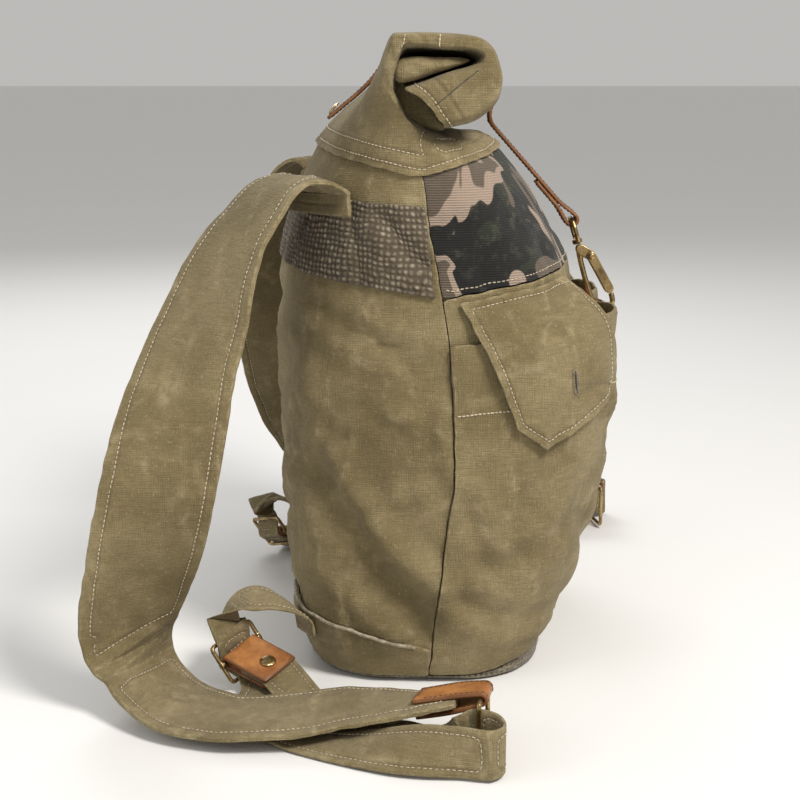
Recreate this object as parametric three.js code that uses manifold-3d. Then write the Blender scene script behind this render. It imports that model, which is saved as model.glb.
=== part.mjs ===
// Canvas backpack: rolled top, front pockets, jute webbing, leather and brass fittings.
// Millimetres, +Z up. The origin is the middle of the base, on the surface that it stands on.
// +X is the front with the pockets, -X the back with the shoulder straps, -Y the near side.
import * as THREE from "three";
import { mergeVertices } from "three/addons/utils/BufferGeometryUtils.js";
import Module from "manifold-3d";

const wasm = await Module();
wasm.setup();

// Driving dimensions
const rolledHeight = 450; // base to the top of the roll
const sackDepth = 200; // nominal depth of the packed sack, the unit of the x shares
const sackWidth = 320; // side seam to side seam where it is widest
const canvasWall = 2;
const juteWall = 2.6;
const leatherWall = 2.6;
const layerGap = 0.7; // clearance between sewn layers
const seamGap = 0.5; // clearance between two panels at a side seam
const foldDepth = 7; // the deepest dent in the packed sack
const pocketBulge = 24; // how far a pocket's mouth stands off the sack
const flapStandOff = 3.6; // flap over pocket
const strapWidth = 76;
const strapThickness = 6;
const strapReach = 250; // how far the shoulder straps stand out behind
const strapHeight = 355; // top of the shoulder straps' arch
const webWidth = 32; // narrow lower strap
const webThickness = 2.2;
const closureWidth = 20;
const wireDiameter = 3.6; // brass rings and sliders
const ringDrop = 33; // inside length of a strap ring's side bar
const ringSpan = 34; // inside length of its top bar
const tabWidth = 24; // leather tab that holds a strap ring
const tabReach = 17; // strap end to the ring that the tab holds
const sliderSlot = 10.5; // slot between two bars of a slider
const rivetDiameter = 12;
const hookWire = 4.4;
const hookLength = 58; // swivel to tip
const hookOpening = 13; // inside width of the hook
const segments = 40; // steps round the sack

const halfWidth = sackWidth / 2;

// Sack sections, from the base edge to the open hem inside the roll. back, seam and front are
// points of the outline: x in shares of sackDepth, z in shares of rolledHeight. half is the half
// width in shares of sackWidth, and square the exponent of the rounded section, 2 for an ellipse.
const sackSections = [
  { back: [-0.45, 0.009], seam: [-0.015, 0.009], front: [0.425, 0.049], half: 0.463, square: 3.4 },
  { back: [-0.505, 0.067], seam: [-0.01, 0.055], front: [0.485, 0.089], half: 0.49, square: 3.3 },
  { back: [-0.545, 0.156], seam: [0.02, 0.156], front: [0.53, 0.162], half: 0.497, square: 3.1 },
  { back: [-0.565, 0.267], seam: [0.055, 0.267], front: [0.56, 0.267], half: 0.5, square: 3 },
  { back: [-0.58, 0.378], seam: [0.075, 0.378], front: [0.57, 0.378], half: 0.5, square: 2.9 },
  { back: [-0.585, 0.493], seam: [0.07, 0.489], front: [0.575, 0.498], half: 0.5, square: 2.8 },
  { back: [-0.565, 0.649], seam: [0.025, 0.611], front: [0.515, 0.647], half: 0.49, square: 2.7 },
  { back: [-0.53, 0.709], seam: [0, 0.684], front: [0.43, 0.716], half: 0.485, square: 2.6 },
  { back: [-0.495, 0.764], seam: [-0.02, 0.749], front: [0.34, 0.776], half: 0.478, square: 2.5 },
  { back: [-0.42, 0.829], seam: [-0.035, 0.789], front: [0.24, 0.829], half: 0.474, square: 2.4 },
  { back: [-0.365, 0.86], seam: [-0.065, 0.829], front: [0.175, 0.843], half: 0.472, square: 2.4 },
  { back: [-0.31, 0.887], seam: [-0.09, 0.86], front: [0.03, 0.844], half: 0.476, square: 2.6 },
  { back: [-0.25, 0.909], seam: [-0.115, 0.893], front: [-0.08, 0.873], half: 0.485, square: 3 },
  { back: [-0.19, 0.936], seam: [-0.14, 0.93], front: [-0.118, 0.922], half: 0.497, square: 4 },
  { back: [-0.155, 0.964], seam: [-0.125, 0.96], front: [-0.105, 0.955], half: 0.505, square: 5 },
  { back: [-0.12, 0.993], seam: [-0.1, 0.982], front: [-0.075, 0.969], half: 0.508, square: 5 },
  { back: [0.015, 0.998], seam: [0.015, 0.984], front: [0.015, 0.969], half: 0.51, square: 5 },
  { back: [0.135, 0.993], seam: [0.125, 0.98], front: [0.115, 0.967], half: 0.512, square: 5 },
  { back: [0.205, 0.973], seam: [0.175, 0.966], front: [0.145, 0.961], half: 0.513, square: 6 },
  { back: [0.235, 0.938], seam: [0.19, 0.947], front: [0.14, 0.958], half: 0.515, square: 8 },
  { back: [0.215, 0.9], seam: [0.165, 0.928], front: [0.115, 0.957], half: 0.516, square: 10 },
  { back: [0.15, 0.873], seam: [0.1, 0.915], front: [0.045, 0.957], half: 0.516, square: 10 },
  { back: [0.035, 0.86], seam: [-0.02, 0.905], front: [-0.085, 0.95], half: 0.516, square: 10 },
];
const camoRow = 6; // lower edge of the camouflage cloth and of the jute band
const bandTopRow = 8;
const hemRow = 9; // lower edge of the collar
const panelTopRow = 9.45; // the walls end under the collar here
const mouthRow = sackSections.length - 1;
const baseRise = 3; // how sharply the jute rim rises to the front corners

// Dents and swells of the packed sack. around is measured in turns from the near seam,
// up in section rows, and both spreads in the same units. lean slants a fold as it rises.
const sackFolds = [
  { around: 0.055, up: 2.3, spreadAround: 0.02, spreadUp: 1.6, lean: 0.03, depth: -1 },
  { around: 0.12, up: 5, spreadAround: 0.03, spreadUp: 0.8, lean: 0, depth: 0.5 },
  { around: 0.05, up: 5.2, spreadAround: 0.014, spreadUp: 0.7, lean: -0.02, depth: -0.5 },
  { around: 0.445, up: 2.6, spreadAround: 0.025, spreadUp: 1.4, lean: -0.03, depth: -0.9 },
  { around: 0.25, up: 4, spreadAround: 0.05, spreadUp: 1.2, lean: 0.01, depth: -0.7 },
  { around: 0.93, up: 1, spreadAround: 0.03, spreadUp: 0.5, lean: 0, depth: -0.6 },
  { around: 0.57, up: 1.1, spreadAround: 0.03, spreadUp: 0.5, lean: 0, depth: -0.6 },
];

// Surface of the sack

const mix = (a, b, t) => a + (b - a) * t;

function sectionPoint(row, turn) {
  const angle = turn * 2 * Math.PI;
  const power = 2 / row.square;
  const across = Math.sign(Math.cos(angle)) * Math.abs(Math.cos(angle)) ** power;
  const depth = Math.abs(Math.sin(angle)) ** power;
  const wall = Math.sin(angle) > 0 ? row.back : row.front;
  const rise = row === sackSections[0] ? depth ** baseRise : depth;
  const x = mix(row.seam[0], wall[0], depth);
  const z = mix(row.seam[1], wall[1], rise);
  return new THREE.Vector3(x * sackDepth, -across * row.half * sackWidth, z * rolledHeight);
}

function smoothPoint(turn, row) {
  const low = Math.min(Math.floor(row), mouthRow - 1);
  const a = sectionPoint(sackSections[low], turn);
  const b = sectionPoint(sackSections[low + 1], turn);
  return a.lerp(b, row - low);
}

function foldAt(turn, row) {
  let sum = 0;
  for (const fold of sackFolds) {
    const up = (row - fold.up) / fold.spreadUp;
    const wrapped = turn - Math.floor(turn);
    const around = (wrapped - fold.around - fold.lean * up) / fold.spreadAround;
    sum += fold.depth * Math.exp(-(up * up) - around * around);
  }
  return sum * foldDepth;
}

function sackPoint(turn, row, offset) {
  const stepTurn = 0.5 / segments;
  const stepRow = 0.3;
  const low = Math.max(row - stepRow, 0);
  const high = Math.min(row + stepRow, mouthRow);
  const along = smoothPoint(turn, high).sub(smoothPoint(turn, low));
  const around = smoothPoint(turn + stepTurn, row).sub(smoothPoint(turn - stepTurn, row));
  const normal = along.cross(around).normalize();
  return smoothPoint(turn, row).addScaledVector(normal, offset + foldAt(turn, row));
}

// Mesh helpers

function meshFrom(triangles) {
  const geometry = new THREE.BufferGeometry();
  const numbers = triangles.flatMap((p) => [p.x, p.y, p.z]);
  geometry.setAttribute("position", new THREE.Float32BufferAttribute(numbers, 3));
  return geometry;
}

function addQuad(out, a, b, c, d) {
  out.push(a, b, c, a, c, d);
}

// A wall between an outer and an inner grid of points. rows run up, columns run round.
// closed joins the last column to the first.
function wallGeometry(outer, inner, closed) {
  const out = [];
  const rows = outer.length - 1;
  const columns = outer[0].length;
  const last = closed ? columns : columns - 1;
  for (let i = 0; i < rows; i += 1) {
    for (let j = 0; j < last; j += 1) {
      const k = (j + 1) % columns;
      addQuad(out, outer[i][j], outer[i + 1][j], outer[i + 1][k], outer[i][k]);
      addQuad(out, inner[i][j], inner[i][k], inner[i + 1][k], inner[i + 1][j]);
    }
  }
  for (let j = 0; j < last; j += 1) {
    const k = (j + 1) % columns;
    addQuad(out, outer[0][j], outer[0][k], inner[0][k], inner[0][j]);
    addQuad(out, outer[rows][j], inner[rows][j], inner[rows][k], outer[rows][k]);
  }
  if (!closed) {
    for (let i = 0; i < rows; i += 1) {
      addQuad(out, outer[i][0], inner[i][0], inner[i + 1][0], outer[i + 1][0]);
      addQuad(out, outer[i][last], outer[i + 1][last], inner[i + 1][last], inner[i][last]);
    }
  }
  return meshFrom(out);
}

// A solid through closed rings of equal length, with flat ends.
function ringSolid(rings, joined) {
  const out = [];
  const count = rings[0].length;
  const last = joined ? rings.length : rings.length - 1;
  for (let i = 0; i < last; i += 1) {
    const next = rings[(i + 1) % rings.length];
    for (let j = 0; j < count; j += 1) {
      const k = (j + 1) % count;
      addQuad(out, rings[i][j], rings[i][k], next[k], next[j]);
    }
  }
  if (!joined) {
    const first = rings[0];
    const end = rings[rings.length - 1];
    for (let j = 1; j < count - 1; j += 1) {
      out.push(first[0], first[j + 1], first[j]);
      out.push(end[0], end[j], end[j + 1]);
    }
  }
  return meshFrom(out);
}

const vec = (x, y, z) => new THREE.Vector3(x, y, z);

// Stations along a strap: centre, unit width direction and travel direction.
function smoothStations(rows, count) {
  const centres = new THREE.CatmullRomCurve3(rows.map((r) => r.centre), false, "centripetal");
  const list = [];
  for (let i = 0; i <= count; i += 1) {
    const t = (i / count) * (rows.length - 1);
    const low = Math.min(Math.floor(t), rows.length - 2);
    const share = t - low;
    const eased = share * share * (3 - 2 * share);
    const across = rows[low].across.clone().lerp(rows[low + 1].across, eased);
    const scale = mix(rows[low].scale ?? 1, rows[low + 1].scale ?? 1, eased);
    const centre = centres.getPoint(t / (rows.length - 1));
    const travel = centres.getTangent(t / (rows.length - 1));
    across.addScaledVector(travel, -across.dot(travel)).normalize();
    list.push({ centre, across, travel, scale });
  }
  return list;
}

// A flat strap through stations. edge is the share of the thickness left at its edges.
function strapGeometry(stations, width, thickness, edge) {
  const rings = stations.map((s) => {
    const face = s.travel.clone().cross(s.across).normalize();
    const half = (width / 2) * s.scale;
    const core = half - (edge < 1 ? width * 0.11 : 0);
    const corner = (a, b) => s.centre.clone().addScaledVector(s.across, a).addScaledVector(face, b);
    const thin = (thickness / 2) * edge;
    const thick = thickness / 2;
    if (edge === 1) {
      return [corner(-half, -thick), corner(half, -thick), corner(half, thick), corner(-half, thick)];
    }
    return [
      corner(-half, -thin), corner(-core, -thick), corner(core, -thick), corner(half, -thin),
      corner(half, thin), corner(core, thick), corner(-core, thick), corner(-half, thin),
    ];
  });
  return ringSolid(rings, false);
}

// A round wire along points, closed into a loop or with flat ends.
function wireGeometry(points, diameter, closed, sides, up) {
  const count = points.length;
  const rings = points.map((p, i) => {
    const before = points[closed ? (i + count - 1) % count : Math.max(i - 1, 0)];
    const after = points[closed ? (i + 1) % count : Math.min(i + 1, count - 1)];
    const travel = after.clone().sub(before).normalize();
    const side = up.clone().cross(travel).normalize();
    const top = travel.clone().cross(side);
    const ring = [];
    for (let j = 0; j < sides; j += 1) {
      const angle = (j / sides) * 2 * Math.PI;
      const radius = diameter / 2;
      ring.push(
        p.clone().addScaledVector(side, Math.cos(angle) * radius)
          .addScaledVector(top, Math.sin(angle) * radius),
      );
    }
    return ring;
  });
  return ringSolid(rings, closed);
}

// Points of a rectangle with round corners, in the plane of two unit directions.
function roundRectangle(centre, first, second, length, height, radius, steps) {
  const points = [];
  const corners = [[1, 1], [-1, 1], [-1, -1], [1, -1]];
  corners.forEach(([a, b], index) => {
    for (let i = 0; i <= steps; i += 1) {
      const angle = ((index + i / steps) * Math.PI) / 2;
      const u = a * (length / 2 - radius) + Math.cos(angle) * radius;
      const v = b * (height / 2 - radius) + Math.sin(angle) * radius;
      points.push(centre.clone().addScaledVector(first, u).addScaledVector(second, v));
    }
  });
  return points;
}

// A short solid of revolution along an axis. rows give distance along it and radius.
function turnedGeometry(origin, axis, rows, sides) {
  const helper = Math.abs(axis.z) > 0.9 ? vec(1, 0, 0) : vec(0, 0, 1);
  const side = helper.clone().cross(axis).normalize();
  const top = axis.clone().cross(side);
  const rings = rows.map((row) => {
    const ring = [];
    for (let j = 0; j < sides; j += 1) {
      const angle = (j / sides) * 2 * Math.PI;
      ring.push(
        origin.clone().addScaledVector(axis, row.along)
          .addScaledVector(side, Math.cos(angle) * row.radius)
          .addScaledVector(top, Math.sin(angle) * row.radius),
      );
    }
    return ring;
  });
  return ringSolid(rings, false);
}

// Booleans

function solidFrom(geometry) {
  const bare = new THREE.BufferGeometry();
  bare.setAttribute("position", geometry.getAttribute("position"));
  if (geometry.index) bare.setIndex(geometry.index);
  const merged = mergeVertices(bare, 1e-4);
  return new wasm.Manifold(
    new wasm.Mesh({
      numProp: 3,
      vertProperties: new Float32Array(merged.getAttribute("position").array),
      triVerts: new Uint32Array(merged.index.array),
    }),
  );
}

function geometryFrom(solid) {
  const mesh = solid.getMesh();
  const geometry = new THREE.BufferGeometry();
  geometry.setAttribute("position", new THREE.Float32BufferAttribute(mesh.vertProperties, 3));
  geometry.setIndex(new THREE.Uint32BufferAttribute(mesh.triVerts, 1));
  return geometry;
}

// Pieces

const canvasColour = 0x7d6f4c;
const juteColour = 0x8a7f6c;
const leatherColour = 0xa8622c;
const brassColour = 0x8f7a48;
const camoColour = 0x2c3126;
const model = new THREE.Group();

function addPiece(name, geometry, color, roughness, metalness) {
  const material = new THREE.MeshStandardMaterial({ color, roughness, metalness });
  const mesh = new THREE.Mesh(geometry, material);
  mesh.name = name;
  model.add(mesh);
}

const addCanvas = (name, geometry) => addPiece(name, geometry, canvasColour, 0.9, 0);
const addJute = (name, geometry) => addPiece(name, geometry, juteColour, 0.95, 0);
const addLeather = (name, geometry) => addPiece(name, geometry, leatherColour, 0.55, 0);
const addBrass = (name, geometry) => addPiece(name, geometry, brassColour, 0.35, 1);

const mirrorTurn = (turn) => 1.5 - turn;
const smooth = (t) => {
  const share = Math.min(Math.max(t, 0), 1);
  return share * share * (3 - 2 * share);
};

// Panel walls. Every layer takes its points from the same facets, so that layers nest.

const seamTurn = 0.00035; // half of the seam's opening, in turns
const wholeRows = sackSections.map((_, index) => index);

function facetPoint(turn, row, offsetAt, knots) {
  const level = Math.max(knots.findIndex((knot) => knot >= row - 1e-9) - 1, 0);
  const low = knots[level];
  const high = knots[level + 1];
  const up = (row - low) / (high - low);
  const column = Math.floor(turn * segments + 1e-9);
  const round = turn * segments - column;
  const corner = (knot, step) => {
    const knotTurn = (column + step) / segments;
    return sackPoint(knotTurn, knot, offsetAt(knotTurn, knot));
  };
  const lower = corner(low, 0).lerp(corner(low, 1), round);
  return lower.lerp(corner(high, 0).lerp(corner(high, 1), round), up);
}

const shellPoint = (turn, row, offset) => facetPoint(turn, row, () => offset, wholeRows);

function turnRange(from, to) {
  const list = [];
  for (let j = Math.round(from * segments); j <= Math.round(to * segments); j += 1) {
    list.push(j / segments);
  }
  return list;
}

// The turns of a panel whose ends stay clear of the side seams
function clearSeams(turns) {
  const last = turns.length - 1;
  return turns.map((turn, j) => {
    if (j === 0) return turn + seamTurn;
    return j === last ? turn - seamTurn : turn;
  });
}

const rowHeight = rolledHeight * 0.07;
const rowGap = seamGap / rowHeight;
const backTurns = clearSeams(turnRange(0, 0.5));
const frontTurns = clearSeams(turnRange(0.5, 1));
const fullRows = (from, to) => {
  const list = [from];
  for (let row = Math.floor(from) + 1; row < to; row += 1) list.push(row);
  list.push(to);
  return list;
};

function panel(turns, rows, inside, wall) {
  const grid = (offset) => rows.map((row) => turns.map((turn) => shellPoint(turn, row, offset)));
  return wallGeometry(grid(inside + wall), grid(inside), false);
}

addCanvas("back_panel", panel(backTurns, fullRows(0, panelTopRow), -canvasWall, canvasWall));
addCanvas("front_panel", panel(frontTurns, fullRows(0, camoRow - rowGap), -canvasWall, canvasWall));
addPiece(
  "camo_panel",
  panel(frontTurns, fullRows(camoRow, panelTopRow), -canvasWall, canvasWall),
  camoColour, 0.9, 0,
);
addJute("jute_band", panel(backTurns, fullRows(camoRow, bandTopRow), layerGap, juteWall));

const bandGap = layerGap + 0.2;
const bandSeamRow = 1.05;
const bandBackRow = 1.5;
function baseBandGrid(offset) {
  const bottomRow = 0.08;
  return backTurns.map((turn) => {
    const share = Math.abs(Math.sin(turn * 2 * Math.PI)) ** 0.7;
    return [bottomRow, 1, mix(bandSeamRow, bandBackRow, share)].map((row) => shellPoint(turn, row, offset));
  });
}
const turned = (grid) => grid[0].map((_, i) => grid.map((column) => column[i]));
addCanvas(
  "base_band",
  wallGeometry(turned(baseBandGrid(bandGap + canvasWall)), turned(baseBandGrid(bandGap)), false),
);

// The collar: over the walls at its hem, then the flattened and rolled tube, open at its end

const collarLift = (row) => (layerGap + canvasWall) * (1 - smooth(row - 10));

function collarGrid(wall) {
  const turns = turnRange(0, 1).slice(0, -1);
  const rows = [hemRow, panelTopRow, 10];
  for (let row = 11; row <= mouthRow; row += 1) rows.push(row);
  return rows.map((row) => turns.map((turn) => shellPoint(turn, row, collarLift(row) - wall)));
}
addCanvas("collar", wallGeometry(collarGrid(0), collarGrid(canvasWall), true));

// The jute bottom with its turned-up rim

function baseRing(offset, height) {
  const ring = [];
  for (let j = 0; j < segments; j += 1) {
    const point = sackPoint(-j / segments, 0, offset);
    point.z = height === undefined ? point.z - layerGap : height;
    ring.push(point);
  }
  return ring;
}
const baseRound = 5;
addJute("jute_base", ringSolid([
  baseRing(-baseRound, 0),
  baseRing(-baseRound * 0.2, baseRound * 0.45),
  baseRing(0),
  baseRing(-juteWall),
  baseRing(-baseRound - juteWall, juteWall),
], false));

// Pockets, open at the top

const pocketMouthRow = 5.42;
const pocketCentre = 14; // half of the bare strip between the pockets
const pocketRise = [
  { row: 0, share: 0 }, { row: 1, share: 0.08 }, { row: 2, share: 0.25 }, { row: 3, share: 0.5 },
  { row: 4, share: 0.8 }, { row: 5, share: 1 }, { row: 5.5, share: 1.12 },
];

function pocketStandOff(turn, row) {
  const side = turn >= 0.75 ? turn : mirrorTurn(turn);
  const round = (1 - side) / 0.25;
  let rise = 0;
  for (let i = 0; i < pocketRise.length - 1; i += 1) {
    const low = pocketRise[i];
    const high = pocketRise[i + 1];
    if (row >= low.row) rise = mix(low.share, high.share, (row - low.row) / (high.row - low.row));
  }
  const spread = smooth(round / 0.75) * smooth((1 - round) / 0.13);
  return pocketBulge * Math.min(rise, 1.2) * spread;
}

const centreTurn = (distance) => {
  const share = distance / halfWidth / firstColumn;
  return share / segments;
};
const firstColumn = Math.sin((2 * Math.PI) / segments) ** 0.7;
const centreSteps = [2.4, 1.6, 1];
const pocketKnots = [0, 1, 2, 3, 4, 5, pocketMouthRow];

function pocketGeometry(isNear) {
  const rows = [0.12, ...pocketKnots.slice(1)];
  const middle = centreSteps.map((step) => 0.75 + centreTurn(pocketCentre * step)).reverse();
  const list = [...middle, ...turnRange(0.75 + 1 / segments, 1)];
  list[list.length - 1] -= seamTurn;
  const turns = isNear ? list : list.map(mirrorTurn).reverse();
  const grid = (offset) => rows.map((row) => turns.map((turn) => {
    const bare = shellPoint(turn, row, layerGap + offset);
    const raised = shellPoint(turn, row, layerGap + offset + 1);
    return bare.addScaledVector(raised.sub(bare), pocketStandOff(turn, row));
  }));
  return wallGeometry(grid(canvasWall), grid(0), false);
}
addCanvas("pocket_near", pocketGeometry(true));
addCanvas("pocket_far", pocketGeometry(false));

// Pointed flaps over the pockets

const flapTop = { left: 0.9895, right: 0.851, row: 5.92 };
const flapFoot = { left: 0.957, right: 0.847 };
const flapEdge = [
  { across: 0, row: 4.33 }, { across: 0.28, row: 4.03 }, { across: 1, row: 4.63 },
];
const flapAcross = [0, 0.14, 0.28, 0.42, 0.56, 0.7, 0.85, 1];
const flapDown = [1, 0.84, 0.68, 0.52, 0.36, 0.26, 0.12, 0];

function flapPoint(across, down, offset, isNear) {
  const leftPart = across <= flapEdge[1].across;
  const a = leftPart ? flapEdge[0] : flapEdge[1];
  const b = leftPart ? flapEdge[1] : flapEdge[2];
  const bottom = mix(a.row, b.row, (across - a.across) / (b.across - a.across));
  const row = mix(flapTop.row, bottom, down);
  const topTurn = mix(flapTop.left, flapTop.right, across);
  const turn = mix(topTurn, mix(flapFoot.left, flapFoot.right, across), down);
  const leaving = Math.min(Math.max((flapTop.row - row) / (flapTop.row - pocketMouthRow), 0), 1);
  const support = pocketStandOff(turn, Math.min(row, pocketMouthRow)) + canvasWall + flapStandOff;
  const side = isNear ? turn : mirrorTurn(turn);
  return shellPoint(side, row, layerGap + support * leaving + offset);
}

function flapGeometry(isNear) {
  const columns = isNear ? flapAcross.toReversed() : flapAcross;
  const grid = (offset) => flapDown.map(
    (down) => columns.map((across) => flapPoint(across, down, offset, isNear)),
  );
  return wallGeometry(grid(canvasWall), grid(0), false);
}
addCanvas("flap_near", flapGeometry(true));
addCanvas("flap_far", flapGeometry(false));

// Leather strap over the roll. Its front end is folded into a loop for the hook.

const middle = 0.25;
const strapSeat = leatherWall / 2 + layerGap;
const strapSlack = 0.9;
const alongY = vec(0, 1, 0);
const station = (point) => ({ centre: point, across: alongY });
const overRoll = [10, 11, 12, 13, 14, 15, 16, 17, 18, 19, 20].map(
  (row) => station(shellPoint(middle, row, strapSeat + strapSlack + collarLift(row))),
);

// The hook hangs along its own line from the strap's loop
const hookTop = vec(0.565 * sackDepth, 0, 0.658 * rolledHeight);
const hookLean = (17 * Math.PI) / 180;
const hookDown = vec(Math.sin(hookLean), 0, -Math.cos(hookLean));
const hookOut = vec(Math.cos(hookLean), 0, Math.sin(hookLean));
const hookPoint = (down, out, y = 0) => hookTop.clone()
  .addScaledVector(hookDown, down).addScaledVector(hookOut, out).setY(y);

const eyeDrop = 20; // eye's top bar above the hook's top
const loopCentre = hookPoint(-eyeDrop, 0);
const loopRadius = wireDiameter / 2 + layerGap + leatherWall / 2 + 0.6;
const rollFront = vec(0.212 * sackDepth, 0, 0.862 * rolledHeight);
const pull = loopCentre.clone().sub(rollFront).normalize();
const pullOut = vec(-pull.z, 0, pull.x);
const free = (along, out) => station(
  loopCentre.clone().addScaledVector(pull, along).addScaledVector(pullOut, out),
);
const layerStep = leatherWall / 2 + 0.25;
const loopSteps = 8;
const loopBack = [];
for (let i = 0; i <= loopSteps; i += 1) {
  const angle = Math.PI / 2 - (i / loopSteps) * Math.PI;
  loopBack.push(free(Math.cos(angle) * loopRadius, Math.sin(angle) * loopRadius));
}
const closureRun = loopCentre.distanceTo(rollFront);
const closureTail = 40; // the end that is sewn back under the strap
const sewnFrom = closureTail * 0.55; // where its two layers part to go round the hook's eye
const closureStations = [
  ...overRoll,
  free(-closureRun, layerStep), free(-closureRun * 0.7, layerStep),
  free(-sewnFrom, layerStep), free(-sewnFrom * 0.64, layerStep), free(-loopRadius * 1.2, loopRadius * 0.85),
  ...loopBack,
  free(-loopRadius * 1.2, -loopRadius * 0.85), free(-sewnFrom * 0.64, -layerStep),
  free(-sewnFrom, -layerStep), free(-closureTail, -layerStep),
];
function withTravel(rows) {
  return rows.map((row, i) => {
    const before = rows[Math.max(i - 1, 0)].centre;
    const after = rows[Math.min(i + 1, rows.length - 1)].centre;
    const travel = after.clone().sub(before).normalize();
    const across = row.across.clone().addScaledVector(travel, -row.across.dot(travel)).normalize();
    return { centre: row.centre, across, travel, scale: 1 };
  });
}
addLeather("closure_strap", strapGeometry(withTravel(closureStations), closureWidth, leatherWall, 1));
const studLift = strapSeat + strapSlack + leatherWall / 2 + layerGap * 1.3;
const studRow = 10.5;
const studSeat = shellPoint(middle, studRow, studLift + collarLift(studRow));
const studAxis = studSeat.clone().sub(shellPoint(middle, studRow, 0)).normalize();
addBrass("closure_stud", turnedGeometry(studSeat, studAxis, [
  { along: 0, radius: rivetDiameter / 2 }, { along: rivetDiameter * 0.08, radius: rivetDiameter / 2 },
  { along: rivetDiameter * 0.18, radius: rivetDiameter * 0.3 },
], 10));

// Snap hook

const wireSides = 8;
const eyeWidth = closureWidth + 7;
const swivelHeight = 4; // the collar between the eye and the hook
addBrass("hook_swivel", geometryFrom(
  solidFrom(wireGeometry(
    roundRectangle(hookPoint(-eyeDrop / 2 - 1, 0), alongY, hookDown, eyeWidth, eyeDrop - 2, 6, 2),
    wireDiameter, true, wireSides, hookOut,
  )).add(solidFrom(turnedGeometry(hookPoint(-swivelHeight, 0), hookDown, [
    { along: 0, radius: swivelHeight * 0.65 }, { along: swivelHeight * 0.15, radius: swivelHeight },
    { along: swivelHeight * 0.85, radius: swivelHeight },
    { along: swivelHeight, radius: swivelHeight * 0.75 },
  ], 10))),
));

// Places on the hook, down and out from its top, in shares of a hook of drawnLength
const drawnLength = 54;
const gatePivot = { down: 11, out: 6.6 };
const hookWay = [
  { down: 1, out: 0 }, { down: 8, out: -1.2 }, { down: 24, out: -1.8 }, { down: 38, out: -1.5 },
  { down: 46, out: 0.2 }, { down: 51.5, out: 4.4 }, { down: 51, out: 9.4 }, { down: 46.5, out: 12.6 },
  { down: 41, out: hookOpening },
];
const gateEnd = { down: 40.4, out: hookOpening };
const hookScale = hookLength / drawnLength;
const onHook = (place, y = 0) => hookPoint(place.down * hookScale, place.out * hookScale, y);
const wayCurve = new THREE.CatmullRomCurve3(hookWay.map((place) => onHook(place)), false, "centripetal");
const pinDiameter = 3;
const boreDiameter = pinDiameter + 0.7;
const cheekWidth = hookWire + 4.6;
const cheekSlot = hookWire + 0.8;

// A flat plate in the hook's own plane, with its thickness along Y
function platePrism(places, thickness) {
  const ring = (y) => places.map((place) => onHook(place, y));
  return ringSolid([ring(thickness / 2), ring(-thickness / 2)], false);
}

function roundedBar(from, to, radius, steps) {
  const angle = Math.atan2(to.out - from.out, to.down - from.down);
  const list = [];
  [to, from].forEach((end, index) => {
    for (let i = 0; i <= steps; i += 1) {
      const turnAngle = angle - Math.PI / 2 + (index + i / steps) * Math.PI;
      list.push({
        down: end.down + (Math.cos(turnAngle) * radius) / hookScale,
        out: end.out + (Math.sin(turnAngle) * radius) / hookScale,
      });
    }
  });
  return list;
}

const pivotBore = solidFrom(turnedGeometry(onHook(gatePivot, -cheekWidth), alongY, [
  { along: 0, radius: boreDiameter / 2 }, { along: cheekWidth * 2, radius: boreDiameter / 2 },
], 12));
const earRadius = 4.4;
const earRoot = { down: 4, out: 0.5 };
const hookEar = solidFrom(platePrism(roundedBar(earRoot, gatePivot, earRadius - 0.6, 5), hookWire));
const hookBow = solidFrom(wireGeometry(wayCurve.getPoints(17), hookWire, false, wireSides, alongY));
addBrass("hook_body", geometryFrom(hookBow.add(hookEar).subtract(pivotBore)));

const gateTip = { down: gateEnd.down - 3.4, out: gateEnd.out - 0.7 };
const gateBlank = solidFrom(platePrism(roundedBar(gatePivot, gateTip, earRadius * 0.82, 6), cheekWidth));
const webOffset = 2.2;
const slotFrom = { down: gatePivot.down - 8, out: gatePivot.out - webOffset - 1.7 };
const slotTo = { down: gateTip.down + 6, out: gateTip.out - webOffset - 0.4 };
const slot = solidFrom(platePrism(roundedBar(slotFrom, slotTo, earRadius * 0.82, 4), cheekSlot));
const earFrom = { down: gatePivot.down - 6, out: gatePivot.out };
const earRoom = solidFrom(platePrism(roundedBar(earFrom, gatePivot, earRadius + 0.3, 6), cheekSlot));
addBrass("hook_gate", geometryFrom(gateBlank.subtract(slot).subtract(earRoom).subtract(pivotBore)));
const pinHead = cheekWidth / 2 + layerGap * 0.5;
const pinHalf = [
  { along: pinHead, radius: pinDiameter * 0.5 }, { along: pinHead, radius: pinDiameter * 0.9 },
  { along: pinHead + 0.8, radius: pinDiameter * 0.9 }, { along: pinHead + 1.2, radius: pinDiameter * 0.6 },
];
addBrass("hook_pin", turnedGeometry(onHook(gatePivot), alongY, [
  ...pinHalf.toReversed().map((place) => ({ along: -place.along, radius: place.radius })),
  ...pinHalf,
], 10));

// Leather tab and ring that the hook catches

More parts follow.
